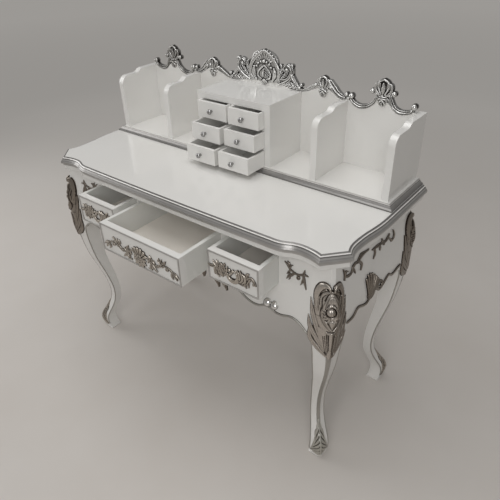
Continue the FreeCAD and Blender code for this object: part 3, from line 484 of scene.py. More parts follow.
def finial(relief, low, high, half):
    """An upright leaf between two curling lobes, tied by a band over a hanging leaf and ball.
    Its lines are drawn in shares of its half width and its height."""
    tall = high - low

    def line(*shares):
        return [(half * a, low + tall * b) for a, b in shares]

    relief.pad(0, low + tall * 0.56, half * 0.75, tall * 0.34, 4)
    for _ in relief.hands():
        lobe = line((0, 0.36), (0.45, 0.42), (0.78, 0.58), (0.74, 0.78), (0.42, 0.8), (0.36, 0.62))
        relief.stroke(lobe, [7, 8, 8, 7.5, 6, 4], 7.5, ridges=1, cut=0.3)
        relief.ball(half * 1.08, low + tall * 0.5, half * 0.25, 9.5)
        relief.stroke(line((0, 0.4), (0.4, 0.28), (0.72, 0.22)), [7, 8, 3], 6.5, ridges=1, cut=0.4)
        relief.stroke(line((0.2, 0.44), (0.52, 0.7), (0.42, 0.88), (0, 0.97)), [6, 7, 7, 6], 8)
    relief.stroke(line((0, 0.42), (0, 0.62), (0, 0.84)), [5, half * 0.72 * 0.62, 5], 10)
    relief.stroke(line((-0.62, 0.42), (0, 0.38), (0.62, 0.42)), [5, 6.5, 5], 9.5, ridges=1, cut=0.3)
    relief.stroke(line((0, 0.36), (0, 0.18), (0, 0)), [24, 28, 4], 11, veins=5, cut=0.35)
    relief.ball(0, low + tall * 0.24, 5, 12.5)


def cartouche():
    """The crowned shield, with hatching in its arch and a shell for a crown."""
    relief = Relief(0.8)
    relief.pad(0, 1037, 54, 56, 4.5, edge=0.4, power=2.6)
    relief.fan(0, 1044, 52, 90, 62, 9, 7)
    for _ in relief.hands():
        side = [(1, 1093), (19, 1081), (37, 1066), (50, 1049), (56, 1032), (53, 1013), (40, 1000)]
        relief.stroke(side, [7, 10, 12, 12, 12, 11, 8], 8.5, ridges=1, cut=0.25)
        relief.stroke([(39, 1042), (41, 1024), (35, 1008)], [8, 17, 8], 9.5, edge=0.2)
        arch = [(0, 1048), (10, 1041), (20, 1031), (25, 1020), (20, 1010), (10, 1006)]
        relief.stroke(arch, [6, 6, 6.5, 6.5, 6, 4], 10, ridges=1, cut=0.3)
        relief.balls([(32, 1004, 5.5, 9.5), (87, 1046, 6, 10), (106, 1031, 5, 9.5)])
        for turn in (20, 44, 68):
            relief.ball(*turned(0, 1036, turn, 30, 25), 4.6, 10.5)
        for turn in (-66, -40):
            relief.stroke([(1, 1006), turned(0, 1006, turn, 14)], [4, 5.5], 8)
    for i in range(3):
        v = 1014 + i * 8
        relief.stroke([(3, v + 9), (10, v + 3), (17, v - 3)], [3, 3.4, 2.4], 7.6)
    relief.stroke([(-2, 1038), (-5, 1026), (-4, 1013)], [4, 9, 4], 8)
    relief.balls([(0, 1061, 6.5, 11), (0, 1093.5, 4, 9.5)])
    relief.stroke([(0, 1006), (0, 998), (0, 991.5)], [4, 6, 4], 8.5)
    for _ in relief.hands():
        scroll = [(62, 1001), (80, 1009), (95, 1020), (103, 1034), (103, 1048), (92, 1058), (80, 1056),
                  (75, 1046), (83, 1040)]
        relief.stroke(scroll, [14, 16, 15, 14, 13, 12, 10, 8, 6], 8.5, ridges=2, cut=0.45)
        frond = [(58, 1006), (72, 1020), (84, 1034), (92, 1044)]
        relief.stroke(frond, [8, 11, 10, 5], 7.5, veins=5)
        frond = [(60, 1022), (66, 1036), (68, 1050), (62, 1058)]
        relief.stroke(frond, [8, 11, 10, 4], 7, veins=4)
        relief.stroke([(98, 1059), (105, 1061), (109, 1055)], [5, 7, 3], 7)
    return relief


def make_crest(silver):
    """Laid on the back board's face; above the board it is carved in the round."""
    def place(u, v, h):
        return np.stack([u, np.where(h < 0.0, CREST_BACK, BOARD_FACE + CREST_SHIFT - h), v], axis=-1)

    tops = Relief(0.8)
    for way in (-1.0, 1.0):
        for middle, low, high, half in ((408, 990, 1065, 30), (218, 987.5, 1046, 24)):
            tops.middle = way * middle
            finial(tops, low, high, half)
    for name, relief, node in (("crest_run_right", crest_run(1.0), "crest_scrolls_right"),
                               ("crest_run_left", crest_run(-1.0), "crest_scrolls_left"),
                               ("crest_finial_leaves", tops, "crest_finials"),
                               ("crest_shield", cartouche(), "crest_cartouche")):
        carve(name, relief, place, silver, -1.0, [node], closed=True, rim_shade=0.12)


# ---- legs
def knee_relief():
    """Cartouche on a knee, drawn across the arris (u) and up (v): two lobes over a bowl that
    holds a cabochon, three pointed blades a side, and a hatched stem."""
    relief = Relief(0.8)
    relief.pad(0, 612, 37, 67, 7, edge=0.45, power=2.2)
    relief.pad(0, 536, 40, 72, 2.5, edge=0.5)
    for _ in relief.hands():
        relief.strokes(8, [
            ([10, 15, 12.75, 1.5], (8, 466), (26, 482), (43, 506), (48, 540)),
            ([10, 14, 11.9, 1.5], (12, 484), (31, 516), (44, 546), (49, 583)),
            ([10, 12, 10.2, 1.5], (18, 512), (31, 552), (40, 592), (44, 637))],
            ridges=1, cut=0.45, edge=0.1)
        relief.stroke([(22, 552), (18, 524), (9, 486)], [20, 22, 12], 6.5)
        for k in range(4):
            line = [(6 + 4 * k, 545 - 3 * k), (5 + 3.2 * k, 520 - 5 * k), (3 + 2 * k, 494 - 8 * k)]
            relief.groove(line, 0.9, 3.4)
        relief.stroke([(31, 600), (31, 626), (27, 650)], [10, 14, 10], 8.5, edge=0.5)
        lobe = [(32, 612), (34, 634), (32.5, 655), (28, 671), (21, 683), (13, 688), (7, 685), (5, 677)]
        relief.stroke(lobe, [5, 9, 11, 12, 13, 12, 10, 5], 12, edge=0.15)
        relief.groove([(27.5, 630), (27, 644), (25, 655), (20.5, 665), (12, 673)], 0.8, 3.4)
        relief.groove([(22.8, 628), (22.5, 642), (20.5, 652), (16, 661), (10, 667)], 0.7, 2.8)
        relief.pit(9, 676, 2.4, 5)
        relief.ball(14, 679, 3.2, 11)
        rim = [(0, 667), (5, 665), (10, 659), (15, 648), (20, 633), (23, 616), (23, 600), (19.5, 586),
               (13, 574.5), (6, 567), (0, 563)]
        relief.stroke(rim, [3, 3, 3, 3, 3.4, 4, 4, 4, 3.4, 3, 3], 9, edge=0.5)
        relief.groove([(0, 671), (6, 669), (12, 661), (17, 650)], 1, 3.6)
        for turn in (34, 14, -8, -30, -52):
            relief.groove([turned(0, 616, turn, 18, 21), turned(0, 616, turn, 23, 27)], 1, 4.5)
        relief.pit(17, 595, 2.4, 6)
    relief.pad(-1, 650, 12, 16, 8, edge=0.3)
    relief.strokes(11.5, [
        ([5, 10, 5], (-12, 634), (-3, 640.5), (7, 636)),
        ([5, 10, 9, 4], (-20, 597), (-14, 585), (-6, 573), (0, 567))])
    relief.stroke([(0, 588), (0, 581), (0, 567)], [22, 18, 3], 9.5, edge=0.1)
    relief.stroke([(1, 552), (1, 530), (1, 500), (0, 462)], [12, 13, 14, 13], 7)
    relief.ring(-3, 620, 15.4, 3, 8.5, stretch=1.06)
    relief.ball(-3, 620, 11.4, 13, stretch=1.04)
    relief.groove([turned(-3, 620, i * 360 / 14, 12.8, 13.4) for i in range(15)], 1.2, 6)
    relief.groove([(-9, 556), (0, 558), (8, 556)], 1.8, 7)
    relief.groove([(0, 696), (0, 686), (0, 678)], 1.8, 5)
    return relief


def seated(place, width):
    """The knee's sheet with an egg-shaped seat for the ball; it comes down to the leg at its sides."""
    middle = (-1.5, 622.0)
    half = (26.0, 54.0)
    soft_rim = 0.35
    bevel = 0.8

    def raised(u, v, h):
        u = u * width
        away = np.hypot((u - middle[0]) / half[0], (v - middle[1]) / half[1])
        share = np.clip((1.0 - away) / soft_rim, 0, 1)
        share = share * share * (3.0 - 2.0 * share)
        seat = bevel * share * np.maximum(np.abs(u) - 3.0, 0.0)
        down = 2.0 * np.clip((np.abs(u) - 18.0) / 22.0, 0, 1)
        return place(u, v, h + np.where(h > 0.0, seat, 0.0) - down)

    return raised


def arris_relief():
    """Flat band down the planed arris, from the knee to the foot leaf."""
    relief = Relief(1.0)
    levels = (486, 440, 380, 300, 220, 150, 128)
    relief.stroke([(0, v) for v in levels], [24, 15, 11.5, 10, 9.5, 9, 9], 1.4, edge=0.8)
    return relief


def foot_relief():
    """Veined leaf that widens down the arris and wraps the toe, above the sole."""
    relief = Relief(0.7)
    levels = (134, 112, 84, 56, 34, 22)
    relief.stroke([(0, v) for v in levels], [6, 16, 28, 44, 50, 32], 3.2, edge=0.6)
    for _ in relief.hands():
        for k in range(5):
            line = [(3, 112 - 15 * k), (10 + 1.4 * k, 98 - 15 * k), (14 + 3.4 * k, 84 - 14 * k)]
            relief.stroke(line, [3.5, 6.5, 2.5], 4.6)
            line = [(3, 104 - 15 * k), (10 + 1.4 * k, 90 - 15 * k), (15 + 3.2 * k, 74 - 14 * k)]
            relief.groove(line, 1, 2.6)
    relief.stroke([(0, 128), (0, 86), (0, 50), (0, 22)], [3, 6, 6, 4], 5.4, edge=0.4)
    relief.pit(-2, 98, 2.6, 3)
    return relief


def sole(name, node, material):
    """Thin white sole that stands a little proud of a foot."""
    low = [vertex.co for vertex in NODES[node].data.vertices if vertex.co.z < 12.0 * MM]
    middle = sum(low, Vector()) / len(low)
    rim = []
    for i in range(28):
        way = Vector((*turned(0, 0, i * 360 / 28, 1.0), 0.0))
        rim.append(max((co - middle for co in low), key=way.dot))
    rim = [co for i, co in enumerate(rim) if (co - rim[i - 1]).length > 0.5 * MM]
    points = []
    for level, grow in ((0.0, 1.0), (4.5, 3.0), (6.5, 2.4), (7.2, 0.0)):
        for co in rim:
            out = Vector((co.x, co.y, 0.0))
            out += out.normalized() * grow * MM
            points.append((middle.x + out.x, min(middle.y + out.y, BACK), level * MM))
    piece = new_piece(name, points, ring_faces(len(rim), 4), material, smooth=False)
    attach(piece, "carcass")


def ring_faces(count, rings):
    """Faces of a solid made of rings of as many points each: both ends, and between the rings."""
    faces = [tuple(range(count - 1, -1, -1)), tuple((rings - 1) * count + i for i in range(count))]
    for k in range(rings - 1):
        for i in range(count):
            j = (i + 1) % count
            faces.append((k * count + i, k * count + j, (k + 1) * count + j, (k + 1) * count + i))
    return faces


def make_legs(knee, shaded_silver, dark, band, plain_leaf, white):
    for x_way, hand, width in ((1.0, "right", 1.0), (-1.0, "left", 0.82)):
        for y_way, end in ((-1.0, "front"), (1.0, "rear")):
            leg = end + "_" + hand
            node = "leg_" + leg
            nearest = leg == "front_right"
            away = Vector((x_way, y_way, 0.0)).normalized()
            across = Vector((x_way, -y_way, 0.0)).normalized()
            lo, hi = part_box(node)
            corner = Vector((hi.x if x_way > 0 else lo.x, lo.y if y_way < 0 else hi.y, 0.0))
            around = [node, "side_apron_" + hand]
            if end == "front":
                around.append("front_apron_ends")
            tree = tree_of(*around)
            sole("foot_sole_" + leg, node, white)
            # The nearest leg's knee and foot leaf get the brighter silvers; the other legs get darker
            # copies as painted shade.
            relief = knee_relief()
            place = laid_on(tree, relief, corner - across * (3.0 * MM), across, away, 2, 2.5)
            carve("knee_carving_" + leg, relief, seated(place, width), knee if nearest else shaded_silver,
                  -3.0, ["knee_carvings"], rim_shade=0.1, ease=1)
            relief = foot_relief()
            place = laid_on(tree, relief, corner, across, away, 1, 0.4)
            carve("foot_leaf_" + leg, relief, place, plain_leaf if nearest else dark,
                  -2.0, ["foot_carvings"], rim_shade=0.1)
            relief = arris_relief()
            place = laid_on(tree_of(node), relief, corner, across, away)
            carve("arris_band_" + leg, relief, place, band, -1.0)
            for label, way in (("inner", (-x_way, y_way)), ("outer", (x_way, -y_way))):
                tube("leg_line_" + label + "_" + leg, corner_line(node, way), band)


def corner_line(node, way):
    """Points up a leg's corner: at each level, the mesh's furthest point along "way"."""
    mesh = NODES[node].data
    co = np.array([vertex.co[:] for vertex in mesh.vertices]) / MM
    ends = np.array([edge.vertices[:] for edge in mesh.edges])
    a = co[ends[:, 0]]
    b = co[ends[:, 1]]
    points = []
    for level in range(28, 521, 8):
        cross = (a[:, 2] - level) * (b[:, 2] - level) < 0.0
        share = ((level - a[cross, 2]) / (b[cross, 2] - a[cross, 2]))[:, None]
        cut = a[cross] + (b[cross] - a[cross]) * share
        far = cut[np.argmax(cut[:, 0] * way[0] + cut[:, 1] * way[1])]
        points.append(far - np.array((way[0], way[1], 0.0)) * 0.9)
    return np.array(points)


def tube(name, points, material, radius=2.1, sides=8):
    """A round moulding along points given in frame millimetres."""
    ahead = np.gradient(points, axis=0)
    ahead /= np.linalg.norm(ahead, axis=1, keepdims=True)
    side = np.cross(ahead, np.array((0.0, 1.0, 0.0)))
    side /= np.linalg.norm(side, axis=1, keepdims=True)
    other = np.cross(ahead, side)
    turns = [turned(0, 0, i * 360 / sides, radius) for i in range(sides)]
    rings = [points + a * side + b * other for a, b in turns]
    corners = np.stack(rings, axis=1).reshape(-1, 3) * MM
    piece = new_piece(name, corners.tolist(), ring_faces(sides, len(points)), material)
    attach(piece, "carcass")


# ---- aprons
EDGE_LEVELS = np.arange(490.0, 600.5, 0.5)  # mm: where a lower edge is looked for


def low_edge(tree, start, u_axis, away, us):
    """Height of the lowest point of a surface, at each place along it."""
    line = []
    for u in us:
        depths = ((v, depth_at(tree, start, u_axis, away, u, v)) for v in EDGE_LEVELS)
        line.append(next((v for v, depth in depths if not math.isnan(depth)), EDGE_LEVELS[-1]))
    padded = np.pad(np.array(line), 2, mode="edge")
    return sum(padded[i:i + len(line)] for i in range(5)) / 5.0


def edge_bead(tree, start, u_axis, away, us, wide, high):
    """Silvered bead along a shaped lower edge, laid just inside it."""
    relief = Relief(0.9)
    levels = low_edge(tree, start, u_axis, away, us)
    relief.stroke([(u, v + wide * 0.32) for u, v in zip(us, levels)], [wide] * len(us), high, edge=0.35)
    return relief


def front_spray(relief):
    """Sprig beside the knee: two leafy heads on a stem with a bud under it."""
    relief.strokes(5, [
        ([2, 5, 5, 4], (386, 699), (394, 694), (400, 687), (405, 681)),
        ([5, 4, 5, 4, 5, 6, 2], (404, 682), (412, 680), (422, 677), (431, 678), (443, 683), (449, 690),
         (451, 700))], ridges=1)
    relief.leaves(5, [
        (5, (399, 690), (402, 698), (395, 704)), (5, (403, 682), (406, 693), (413, 698)),
        (5, (405, 680), (401, 674), (396, 671)), (5, (408, 668), (400, 668), (393, 664)),
        (4, (404, 662), (404, 654), (400, 648)), (5, (447, 684), (455, 687), (464, 688)),
        (8, (448, 681), (451, 671), (455, 662), (462, 649)), (6, (448, 674), (446, 663), (441, 652))])
    relief.stroke([(419, 676), (410, 667), (400, 659), (393, 648)], [4, 7, 6, 2], 5, ridges=2)
    relief.ring(432, 669, 4.2, 3.2, 5)
    relief.ball(432, 669, 2.4, 4)


def centre_leafwork(relief):
    """Ornament on the apron under the centre drawer."""
    relief.pad(0, 566, 30, 32, 3, edge=0.4)
    relief.fan(0, 552, 40, 90, 62, 7, 7)
    relief.ball(0, 560, 7, 8)
    for _ in relief.hands():
        stem = [(8, 552), (34, 560), (58, 572), (80, 590), (94, 600)]
        relief.stroke(stem, [8, 9, 8, 6, 2], 6, ridges=2)
        relief.leaves(6, [
            (9, (30, 562), (52, 556), (76, 560)), (8, (60, 574), (84, 570), (104, 578)),
            (8, (44, 566), (50, 584), (64, 596)), (7, (84, 592), (100, 602), (118, 600)),
            (6, (86, 594), (88, 606), (96, 610))])
        relief.leaves(7, [
            (19, (80, 566), (92, 552), (97, 531)), (16, (134, 556), (148, 540), (157, 518)),
            (14, (166, 552), (180, 538), (190, 521))])


def side_leafwork():
    """Long spray under the top's edge: leaves and buds on a winding stem, drawn in y and z."""
    relief = Relief(0.8)
    relief.strokes(5, [
        ([2.5, 6, 4], (-422, 714), (-417, 698), (-420, 683)),
        ([6, 6, 7], (-176, 682), (-160, 672), (-150, 661)),
        ([2.5, 6, 6, 7], (-141, 691), (-134, 674), (-138, 664), (-150, 660))])
    relief.leaves(5, [
        (7, (-417, 693), (-410, 701), (-398, 697)), (7, (-376, 693), (-368, 683), (-363, 670)),
        (9, (-253, 686), (-250, 672), (-258, 656)), (8, (-238, 686), (-220, 677), (-221, 664)),
        (7, (-214, 682), (-208, 691), (-214, 698))])
    relief.strokes(5.5, [
        ([4, 7, 6, 8, 9, 8, 7], (-419, 691), (-401, 684), (-388, 683), (-379, 688), (-374, 696),
         (-363, 700), (-351, 698)),
        ([7, 8, 8, 3], (-351, 698), (-337, 691), (-327, 677), (-332, 663))], ridges=1)
    relief.strokes(5.5, [
        ([7, 12, 15, 11, 5, 1.5], (-352, 696), (-341, 702), (-330, 706), (-318, 706), (-304, 705),
         (-287, 704)),
        ([3, 8, 10, 8, 9, 8, 3], (-268, 690), (-249, 688), (-229, 685), (-208, 682), (-188, 677),
         (-175, 683), (-165, 690))], ridges=2)
    relief.ball(-199, 674, 4, 6)
    return relief


def side_shell(relief):
    """Shell that leans forward over the middle of the lower edge: ribs with gaps at their tips."""
    relief.pad(-274, 560, 11, 16, 3, edge=0.5)
    foot = (-279, 545)
    tips = [(-298, 613), (-288, 620), (-275, 618), (-262, 612), (-251, 602), (-240, 591),
            (-230, 579), (-221, 567)]
    for i, (u, v) in enumerate(tips):
        start = (foot[0] + 2.4 * (i - 3.5), foot[1] + abs(i - 4) * 0.5)
        middle = (start[0] * 0.45 + u * 0.55, start[1] * 0.45 + v * 0.55)
        relief.stroke([start, middle, (u, v)], [4, 6.2, 6.6], 7.5 - 0.3 * abs(i - 3.5), edge=0.35)
    relief.strokes(7.5, [
        ([5, 8, 9, 8, 4], (-218, 564), (-208, 558), (-204, 549), (-211, 542), (-222, 545)),
        ([5, 8, 9, 8, 4], (-292, 556), (-286, 546), (-274, 539), (-262, 541), (-252, 550))], ridges=1)
    relief.stroke([(-244, 558), (-232, 554), (-222, 547)], [4, 7, 3], 8)


def make_aprons(shaded_silver, band, ball):
    origin = Vector((0, 0, 0))
    across = Vector((1, 0, 0))
    tree = tree_of("front_lower_apron", "front_apron_ends")
    sprays = Relief(0.8, 1.2)
    for _ in sprays.hands():
        front_spray(sprays)
    centre_leafwork(sprays)
    lip = edge_bead(tree, origin, across, FRONT, np.arange(-474.0, 475.0, 4.0), 6.5, 4.0)
    balls = Relief(0.6)
    for _ in balls.hands():
        balls.balls([(363, 550, 12, 13), (339, 550, 12, 13)])
    place = laid_on(tree, sprays, origin, across, FRONT)
    # The front sprays take the darker copy of the silver: painted shade.
    carve("front_sprays", sprays, place, shaded_silver, -1.5, ["front_carvings"], closed=True)
    for name, relief, finish in (("front_edge_bead", lip, band), ("front_balls", balls, ball)):
        carve(name, relief, laid_on(tree, relief, origin, across, FRONT), finish, -1.5)
    along = Vector((0, 1, 0))
    start = Vector((0.0, BACK, 0.0))
    for way, hand in ((1.0, "right"), (-1.0, "left")):
        away = Vector((way, 0.0, 0.0))
        tree = tree_of("side_apron_" + hand, "leg_front_" + hand, "leg_rear_" + hand)
        relief = side_leafwork()
        side_shell(relief)
        place = laid_on(tree, relief, start, along, away)
        # The side spray, shell and bead take the darker copy of the silver: painted shade.
        carve("side_spray_" + hand, relief, place, shaded_silver, -1.5, ["side_carvings"])
        own = tree_of("side_apron_" + hand)
        lip = edge_bead(own, start, along, away, np.arange(-404.0, -79.0, 4.0), 8.0, 5.0)
        place = laid_on(own, lip, start, along, away)
        carve("side_edge_bead_" + hand, lip, place, shaded_silver, -1.5)


# ---- drawers
def centre_flower():
    """Flower under a shell of petals, between two trailing sprays."""
    relief = Relief(0.7)
    relief.pad(1, 642, 24, 24, 3.5, edge=0.5)
    relief.fan(2, 642, 40, 86, 66, 6, 7)
    for turn, wide in ((196, 14), (228, 16), (262, 15), (296, 16), (328, 15), (0, 14)):
        reach = 27 if wide > 14 else 24
        petal = [turned(2, 643, turn, share * reach) for share in (0.0, 0.5, 1.0)]
        relief.stroke(petal, [8, wide, 5], 7, ridges=1, cut=0.3)
    for i in range(6):
        relief.ball(*turned(2, 645, 60 * i, 8.5), 4.4, 7)
        relief.pit(*turned(2, 645, 60 * i + math.degrees(0.5), 13.5), 1.8, 4.5)
    relief.ball(2, 645, 4.8, 7)
    for way in relief.hands():
        relief.middle = 2 - 2 * way
        curl = [(38, 626), (50, 630), (56, 641), (50, 651), (40, 652), (37, 644)]
        relief.stroke(curl, [4, 7, 8, 8, 6, 4], 6, ridges=1, cut=0.3)
        relief.strokes(6.5, [
            ([5, 6, 8, 12, 11, 3], (28, 662), (38, 658), (47, 651), (53, 643), (61, 635), (72, 626)),
            ([6, 9, 9, 10, 10, 4], (60, 650), (70, 645), (80, 648), (88, 655), (91, 664),
             (94, 675))], ridges=1)
        relief.leaves(6.5, [
            (11, (46, 652), (50, 662), (46, 672)), (10, (52, 646), (60, 656), (67, 651)),
            (10, (51, 642), (47, 634), (52, 624)), (10, (90, 660), (83, 667), (84, 677)),
            (11, (91, 657), (102, 666), (112, 677)), (8, (90, 652), (98, 655), (106, 662))])
        relief.ball(113, 651, 6, 6.5)
        relief.pit(113, 651, 2, 4)
        trail = [(96, 656), (112, 659), (124, 656), (134, 649), (142, 641), (150, 630)]
        relief.stroke(trail, [4, 5, 6, 8, 10, 3], 6, ridges=1)
        relief.leaves(6, [
            (9, (136, 650), (147, 647), (158, 637)), (9, (134, 648), (130, 638), (136, 628))])
    return relief


def side_flower(middle):
    """Cup-shaped flower with a leafy head on one side and a ribbed leaf on the other."""
    relief = Relief(0.7)
    relief.middle = middle
    relief.stroke([(-85, 662), (-77, 658), (-67, 660), (-58, 665)], [3, 9, 9, 6], 6, ridges=1)
    relief.leaves(6, [(10, (-54, 664), (-62, 671), (-67, 680)), (11, (-56, 652), (-53, 640), (-45, 631))])
    relief.leaves(6.5, [
        (11, (-48, 666), (-50, 676), (-55, 684)), (11, (-32, 668), (-27, 677), (-25, 686)),
        (12, (48, 668), (50, 677), (57, 684)), (11, (57, 664), (52, 652), (56, 639)),
        (11, (46, 652), (42, 643), (48, 634))])
    relief.strokes(6.5, [
        ([9, 12, 11, 3], (-44, 668), (-56, 661), (-60, 650), (-61, 636)),
        ([7, 10, 10, 11, 10, 9, 4], (22, 641), (36, 641), (46, 652), (55, 666), (64, 671), (72, 665),
         (78, 655))], ridges=1)
    relief.strokes(7, [
        ([9, 16, 14, 3], (-46, 670), (-45, 656), (-40, 646), (-33, 638)),
        ([8, 15, 13, 3], (-38, 678), (-31, 668), (-27, 656), (-27, 643))], ridges=1)
    relief.stroke([(-16, 676), (-19, 663), (-24, 650)], [5, 9, 5], 6.5)
    for u, v in ((-9, 669), (-2, 663), (-8, 656), (3, 670)):
        relief.ball(u, v, 5, 7.5)
    cup = [(-16, 656), (-12, 644), (1, 638), (14, 643), (20, 655), (17, 667), (9, 672)]
    relief.stroke(cup, [7, 13, 16, 15, 12, 9, 4], 7.5)
    relief.groove([(-10, 651), (-3, 645), (7, 646), (12, 655)], 1.5, 4)
    relief.leaves(7, [(10, (19, 654), (19, 665), (13, 677))])
    for u, top in ((25, 680), (34, 682), (43, 676)):
        relief.stroke([(u - 7, 646), (u + 1, 656), (u, 667), (u - 6, top)], [6, 10, 10, 3], 7)
    relief.ball(71, 656, 4.6, 6)
    for u, v in ((-52, 660), (-22, 661), (-30, 652), (22, 650), (50, 660), (62, 664), (-5, 650)):
        relief.pit(u, v, 2, 4)
    return relief


def make_drawers(dark):
    low_relief = 0.85

    def place(u, v, h):
        return np.stack([u, front - low_relief * h, v], axis=-1)

    flowers = {"centre": centre_flower(), "left": side_flower(-277), "right": side_flower(277)}
    for name, relief in flowers.items():
        drawer = name + "_drawer"
        front = (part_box(drawer + "_front")[0].y - BACK) / MM
        carve(drawer + "_flowers", relief, place, dark, -1.0, [drawer + "_carving"], drawer)


# ---- materials
class Finish:
    """A material with a Principled shader, and short calls for the nodes that feed it."""

    def __init__(self, name, colour, rough, metal=0.0, coat=0.0):
        self.material = bpy.data.materials.new(name)
        self.material.use_nodes = True
        self.tree = self.material.node_tree
        self.shader = self.tree.nodes["Principled BSDF"]
        self.set("Base Color", colour)
        self.set("Roughness", rough)
        self.set("Metallic", metal)
        self.set("Coat Weight", coat)

    def feed(self, socket, value):
        """Join a node's output to a socket, or set the socket to a number or a colour."""
        if isinstance(value, tuple):
            socket.default_value = (*value, 1.0)
        elif isinstance(value, (int, float)):
            socket.default_value = value
        else:
            self.tree.links.new(value, socket)

    def set(self, name, value):
        self.feed(self.shader.inputs[name], value)

    def new(self, kind, inputs=(), **settings):
        """Outputs of a new node, whose inputs are fed and whose settings are made."""
        node = self.tree.nodes.new("ShaderNode" + kind)
        for key, value in settings.items():
            setattr(node, key, value)
        for key, value in dict(inputs).items():
            self.feed(node.inputs[key], value)
        return node.outputs

    def place(self):
        return self.new("TexCoord")["Object"]

    def noise(self, scale, detail=4.0):
        inputs = {"Scale": scale, "Detail": detail, "Roughness": 0.6, "Vector": self.place()}
        return self.new("TexNoise", inputs)["Fac"]

    def span(self, value, low, high, to_low=0.0, to_high=1.0):
        inputs = {"Value": value, "From Min": low, "From Max": high, "To Min": to_low, "To Max": to_high}
        return self.new("MapRange", inputs)["Result"]

    def maths(self, operation, a, b):
        return self.new("Math", {0: a, 1: b}, operation=operation)["Value"]

    def mix(self, share, a, b):
        return self.new("Mix", {"Factor": share, "A": a, "B": b}, data_type="RGBA")["Result"]

    def axes(self, vector):
        return self.new("SeparateXYZ", {"Vector": vector})

    def lay_over(self, share, colour):
        """Cover a share of the surface's own colour."""
        own = self.shader.inputs["Base Color"].links[0].from_socket
        self.set("Base Color", self.mix(share, own, colour))

    def bump(self, height, strength, distance):
        inputs = {"Height": height, "Strength": strength, "Distance": distance}
        self.set("Normal", self.new("Bump", inputs)["Normal"])


def lacquer(name, colour, shade, rough=0.2, coat=0.7):
    """Sprayed ivory lacquer: faint clouding and a slight orange peel under a gloss coat."""
    finish = Finish(name, colour, rough, coat=coat)
    finish.set("Coat Roughness", 0.06)
    cloud = finish.span(finish.noise(2.5, 2.0), 0.35, 0.7)
    finish.set("Base Color", finish.mix(cloud, colour, shade))
    finish.set("Roughness", finish.span(finish.noise(30), 0.3, 0.7, rough - 0.04, rough + 0.05))
    finish.bump(finish.noise(200, 2), 0.04, 0.0003)
    return finish


def silver(name, bright, dark, darkest_at, rough, shaded_side=None):
    """Leafed silver, darkened by the hollow value of its carving: partly the dark patina that lies in the
    hollows, partly painted shade in wide low areas and along the outline. One side may be painted darker
    as painted shade, given as what is looked at (the place or the way a face looks), two values of its x
    and a colour."""
    finish = Finish(name, bright, rough, 0.85)
    hollow = finish.new("Attribute", attribute_name="hollow")["Fac"]
    # The hollow value carries the dark patina of the hollows and painted shade; random mottling is added
    # to it, and the colour is fully dark from the given level on.
    darkening = finish.maths("ADD", hollow, finish.span(finish.noise(90), 0.3, 0.75, -0.12, 0.16))
    patina_and_shade = finish.span(darkening, 0.1, darkest_at)
    leaf = bright
    # One side may be painted darker: painted shade.
    if shaded_side:
        kind, low, high, colour = shaded_side
        source = finish.place() if kind == "place" else finish.new("NewGeometry")["Normal"]
        leaf = finish.mix(finish.span(finish.axes(source)["X"], low, high), bright, colour)
    finish.set("Base Color", finish.mix(patina_and_shade, leaf, dark))
    finish.set("Roughness", finish.span(patina_and_shade, 0.0, 1.0, rough, 0.6))
    finish.bump(finish.noise(260, 3), 0.25, 0.0005)
    return finish.material


def polished(name, colour):
    """Chromed ball, painted darker where it turns away from the view: painted shade. It has fine turning
    marks.
    """
    finish = Finish(name, colour, 0.12, 1.0)
    share = finish.span(finish.new("LayerWeight", {"Blend": 0.35})["Facing"], 0.15, 0.6)
    finish.set("Base Color", finish.mix(share, colour, (0.07, 0.07, 0.075)))
    finish.set("Roughness", finish.span(finish.noise(150), 0.3, 0.7, 0.08, 0.2))
    return finish.material


def banded(name, top, bands):
    """Silvered moulding, coloured in bands by depth under its top: (depth in mm, grey) pairs. A bright
    band is a painted highlight, and a dark one is partly painted shade.
    """
    finish = Finish(name, (0.5, 0.5, 0.5), 0.3, 0.6)
    deepest = bands[-1][0]
    depth = finish.span(finish.axes(finish.place())["Z"], top * MM, (top - deepest) * MM)
    colour = finish.new("ValToRGB", {"Fac": depth})["Color"]
    stops = colour.node.color_ramp.elements
    for i, (deep, grey) in enumerate(bands):
        stop = stops[i] if i < 2 else stops.new(0.5)
        stop.position = deep / deepest
        stop.color = (grey, grey * 0.975, grey * 0.945, 1.0)
    # Random darker patches of wear.
    darkening = finish.span(finish.noise(45), 0.4, 0.8, 0.0, 0.25)
    finish.set("Base Color", finish.mix(darkening, colour, (0.2, 0.17, 0.15)))
    # Bright bands lose their metal, so the painted highlight reads bright from every side.
    finish.set("Metallic", finish.span(finish.axes(colour)["Y"], 0.5, 0.75, 0.6, 0.1))
    finish.bump(finish.noise(220, 3), 0.1, 0.0005)
    return finish.material


def leg_finish(white):
    """The lacquer, with the planed arris below the knee silvered."""
    finish = lacquer("leg_lacquer", *white)
    normal = finish.axes(finish.new("NewGeometry")["True Normal"])
    x, y = (finish.maths("ABSOLUTE", normal[axis], 0.0) for axis in "XY")
    on_arris = finish.span(finish.maths("MINIMUM", x, y), 0.38, 0.46)
    low = finish.span(finish.axes(finish.place())["Z"], 0.5, 0.49)
    share = finish.maths("MULTIPLY", on_arris, low)
    grey = finish.mix(finish.span(finish.noise(70), 0.3, 0.7), (0.36, 0.34, 0.32), (0.2, 0.185, 0.17))
    finish.lay_over(share, grey)
    finish.set("Metallic", finish.maths("MULTIPLY", share, 0.7))
    return finish.material


